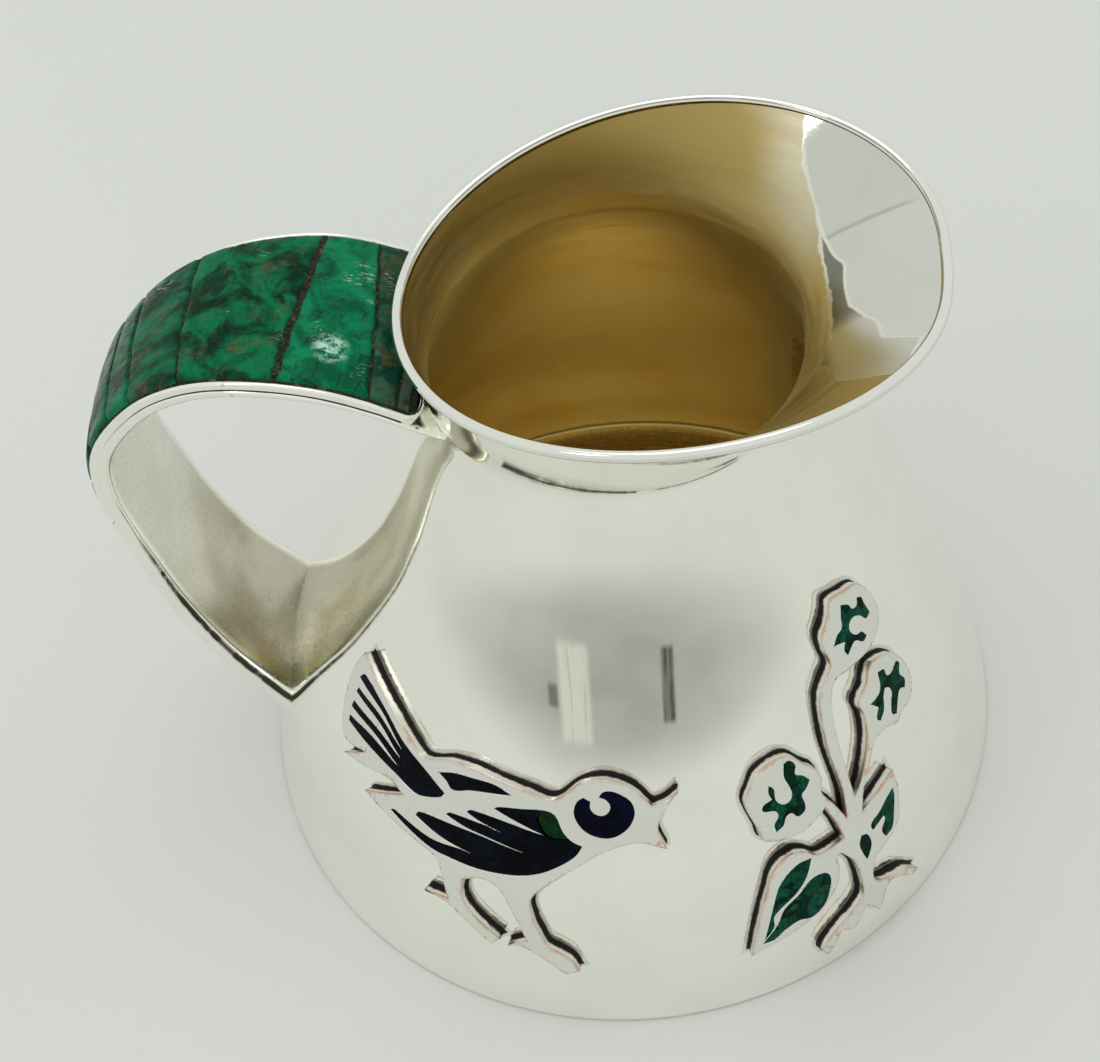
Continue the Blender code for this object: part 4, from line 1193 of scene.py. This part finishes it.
def build_plaque(node, inlays, metal, fillings):
    loops = face_loops(node, PLAQUE_TOP)
    lines = [rounded_outline(line, SHARP_CORNER[node]) for line in loops]
    cells = [offset_outline(line, -0.02) for line in lines[1:]]
    face = (node + "_face", lines[0], cells, PLAQUE_FOOT, PLAQUE_TOP, PLAQUE_BEVEL)
    raised_plate(*face, metal, "silver", [node], flange=0.8)
    for name in inlays:
        line = rounded_outline(face_loops(name, PLAQUE_TOP - INLAY_DROP)[0], 50)
        line = offset_outline(line, 0.14)
        material, slot = fillings[name]
        fill = (name + "_fill", line, [], INLAY_FOOT, PLAQUE_TOP - 0.1, INLAY_BEVEL)
        raised_plate(*fill, material, slot, [name], crown=0.05)


# ---------------------------------------------------------------- stage

CAMERA_PLACE = (25.6, -183.8, 289.3)
CAMERA_YAW = -10.48
CAMERA_PITCH = 52.86
CAMERA_ROLL = 9.09
LENS = 71.64


def build_camera():
    yaw, pitch, roll = (math.radians(v) for v in (CAMERA_YAW, CAMERA_PITCH, CAMERA_ROLL))
    ahead = Vector((math.sin(yaw) * math.cos(pitch), math.cos(yaw) * math.cos(pitch), -math.sin(pitch)))
    right = Vector((math.cos(yaw), -math.sin(yaw), 0.0))
    down = ahead.cross(right)
    right_rolled = math.cos(roll) * right + math.sin(roll) * down
    down_rolled = -math.sin(roll) * right + math.cos(roll) * down
    data = bpy.data.cameras.new("camera")
    data.lens = LENS
    data.sensor_width = 36.0
    data.sensor_fit = "HORIZONTAL"
    camera = bpy.data.objects.new("camera", data)
    turn = Matrix((right_rolled, -down_rolled, -ahead)).transposed().to_4x4()
    camera.matrix_world = Matrix.Translation(Vector(CAMERA_PLACE) * MM) @ turn
    bpy.context.scene.collection.objects.link(camera)
    bpy.context.scene.camera = camera


def build_floor():
    shader = Shader("pale_table")
    cloud = shader.noise(0.004, 3)
    grain = shader.noise(0.8, 4, 0.6)
    colour = shader.mix(shader.ramp(cloud, 0.35, 0.65), (0.735, 0.745, 0.725), (0.765, 0.775, 0.75))
    colour = shader.mix(shader.ramp(grain, 0.55, 0.8, 0.0, 0.12), colour, (0.55, 0.55, 0.53))
    shader.set(Base_Color=colour, Roughness=0.55, Normal=shader.bump(grain, 0.01))
    mesh = bpy.data.meshes.new("table")
    reach = 2.5
    corners = [(x * reach, y * reach, 0) for x, y in ((-1, -1), (1, -1), (1, 1), (-1, 1))]
    mesh.from_pydata(corners, [], [(0, 1, 2, 3)])
    mesh.materials.append(shader.material)
    floor = bpy.data.objects.new("table", mesh)
    floor.location.z = -0.0001
    bpy.context.scene.collection.objects.link(floor)


def area_light(name, place, target, size, power, colour=(1, 1, 1)):
    data = bpy.data.lights.new(name, "AREA")
    data.shape = "RECTANGLE"
    data.size, data.size_y = size
    data.energy = power
    data.color = colour
    light = bpy.data.objects.new(name, data)
    light.location = place
    aim = Vector(target) - Vector(place)
    light.rotation_euler = aim.to_track_quat("-Z", "Y").to_euler()
    bpy.context.scene.collection.objects.link(light)
    return light


def build_light():
    world = bpy.data.worlds.new("studio")
    bpy.context.scene.world = world
    world.use_nodes = True
    background = world.node_tree.nodes["Background"]
    background.inputs["Color"].default_value = (0.975, 1.0, 0.965, 1.0)
    background.inputs["Strength"].default_value = 0.80
    area_light("overhead", (-0.1, 0.2, 1.1), (0, 0, 0.05), (0.6, 0.6), 1.1, (1.0, 0.99, 0.97))
    area_light("window", (-0.5, -0.36, 0.85), (0, 0, 0.05), (0.14, 0.14), 0.35)
    bpy.context.scene.view_settings.view_transform = "Standard"


# ---------------------------------------------------------------- the jug

def main():
    silver = body_silver()
    band = handle_silver()
    build_body(silver)
    build_base(base_silver())
    build_rim(rim_silver())
    build_strap(band)
    build_rails(band)
    build_bedding(cement())
    deep = (0.001, 0.03, 0.012)
    bright = (0.003, 0.17, 0.068)
    build_stones([
        stone("stone_corner", (0.02, 0.04, 0.03), (0.06, 0.10, 0.07), 1, 0.7),
        stone("stone_rim", (0.006, 0.05, 0.03), (0.03, 0.13, 0.08), 2, 0.7),
        stone("stone_light", (0.002, 0.10, 0.042), (0.004, 0.23, 0.098), 3, 0.15, painted_highlight_middle=STONE_PAINTED_HIGHLIGHT),
        stone("stone_large", deep, bright, 4, 0.45),
        stone("stone_streaked", deep, (0.005, 0.16, 0.07), 5, 0.5, (0.4, 1.0, 0.4), (0.17, 0.085, 0.055)),
        stone("stone_middle", deep, (0.006, 0.18, 0.08), 6, 0.4, (0.6, 1.0, 0.4)),
        stone("stone_turn", deep, (0.01, 0.15, 0.075), 7, 0.5, (0.6, 1.0, 0.4)),
        stone("stone_outer", deep, bright, 8, 0.4),
        stone("stone_last", deep, bright, 9, 0.5),
    ])
    metal = plaque_silver()
    black = (inlay("blue_black_chips", (0.0015, 0.002, 0.004), (0.003, 0.005, 0.012), 0.3), "black_inlay")
    blue = (inlay("dark_blue_chips", (0.002, 0.002, 0.008), (0.003, 0.004, 0.035), 0.9), "black_inlay")
    moss = (inlay("moss_chips", (0.004, 0.03, 0.008), (0.01, 0.07, 0.02), 0.5), "green_inlay")
    green = (inlay("green_chips", (0.001, 0.018, 0.010), (0.004, 0.09, 0.05), 0.7), "green_inlay")
    fillings = {name: black for name in BIRD_INLAYS}
    fillings["bird_eye_inlay"] = blue
    fillings["bird_wing_stone"] = moss
    fillings.update({name: green for name in FLOWER_INLAYS})
    build_plaque("bird_plaque", BIRD_INLAYS, metal, fillings)
    build_plaque("flower_plaque", FLOWER_INLAYS, metal, fillings)
    build_camera()
    build_floor()
    build_light()


main()
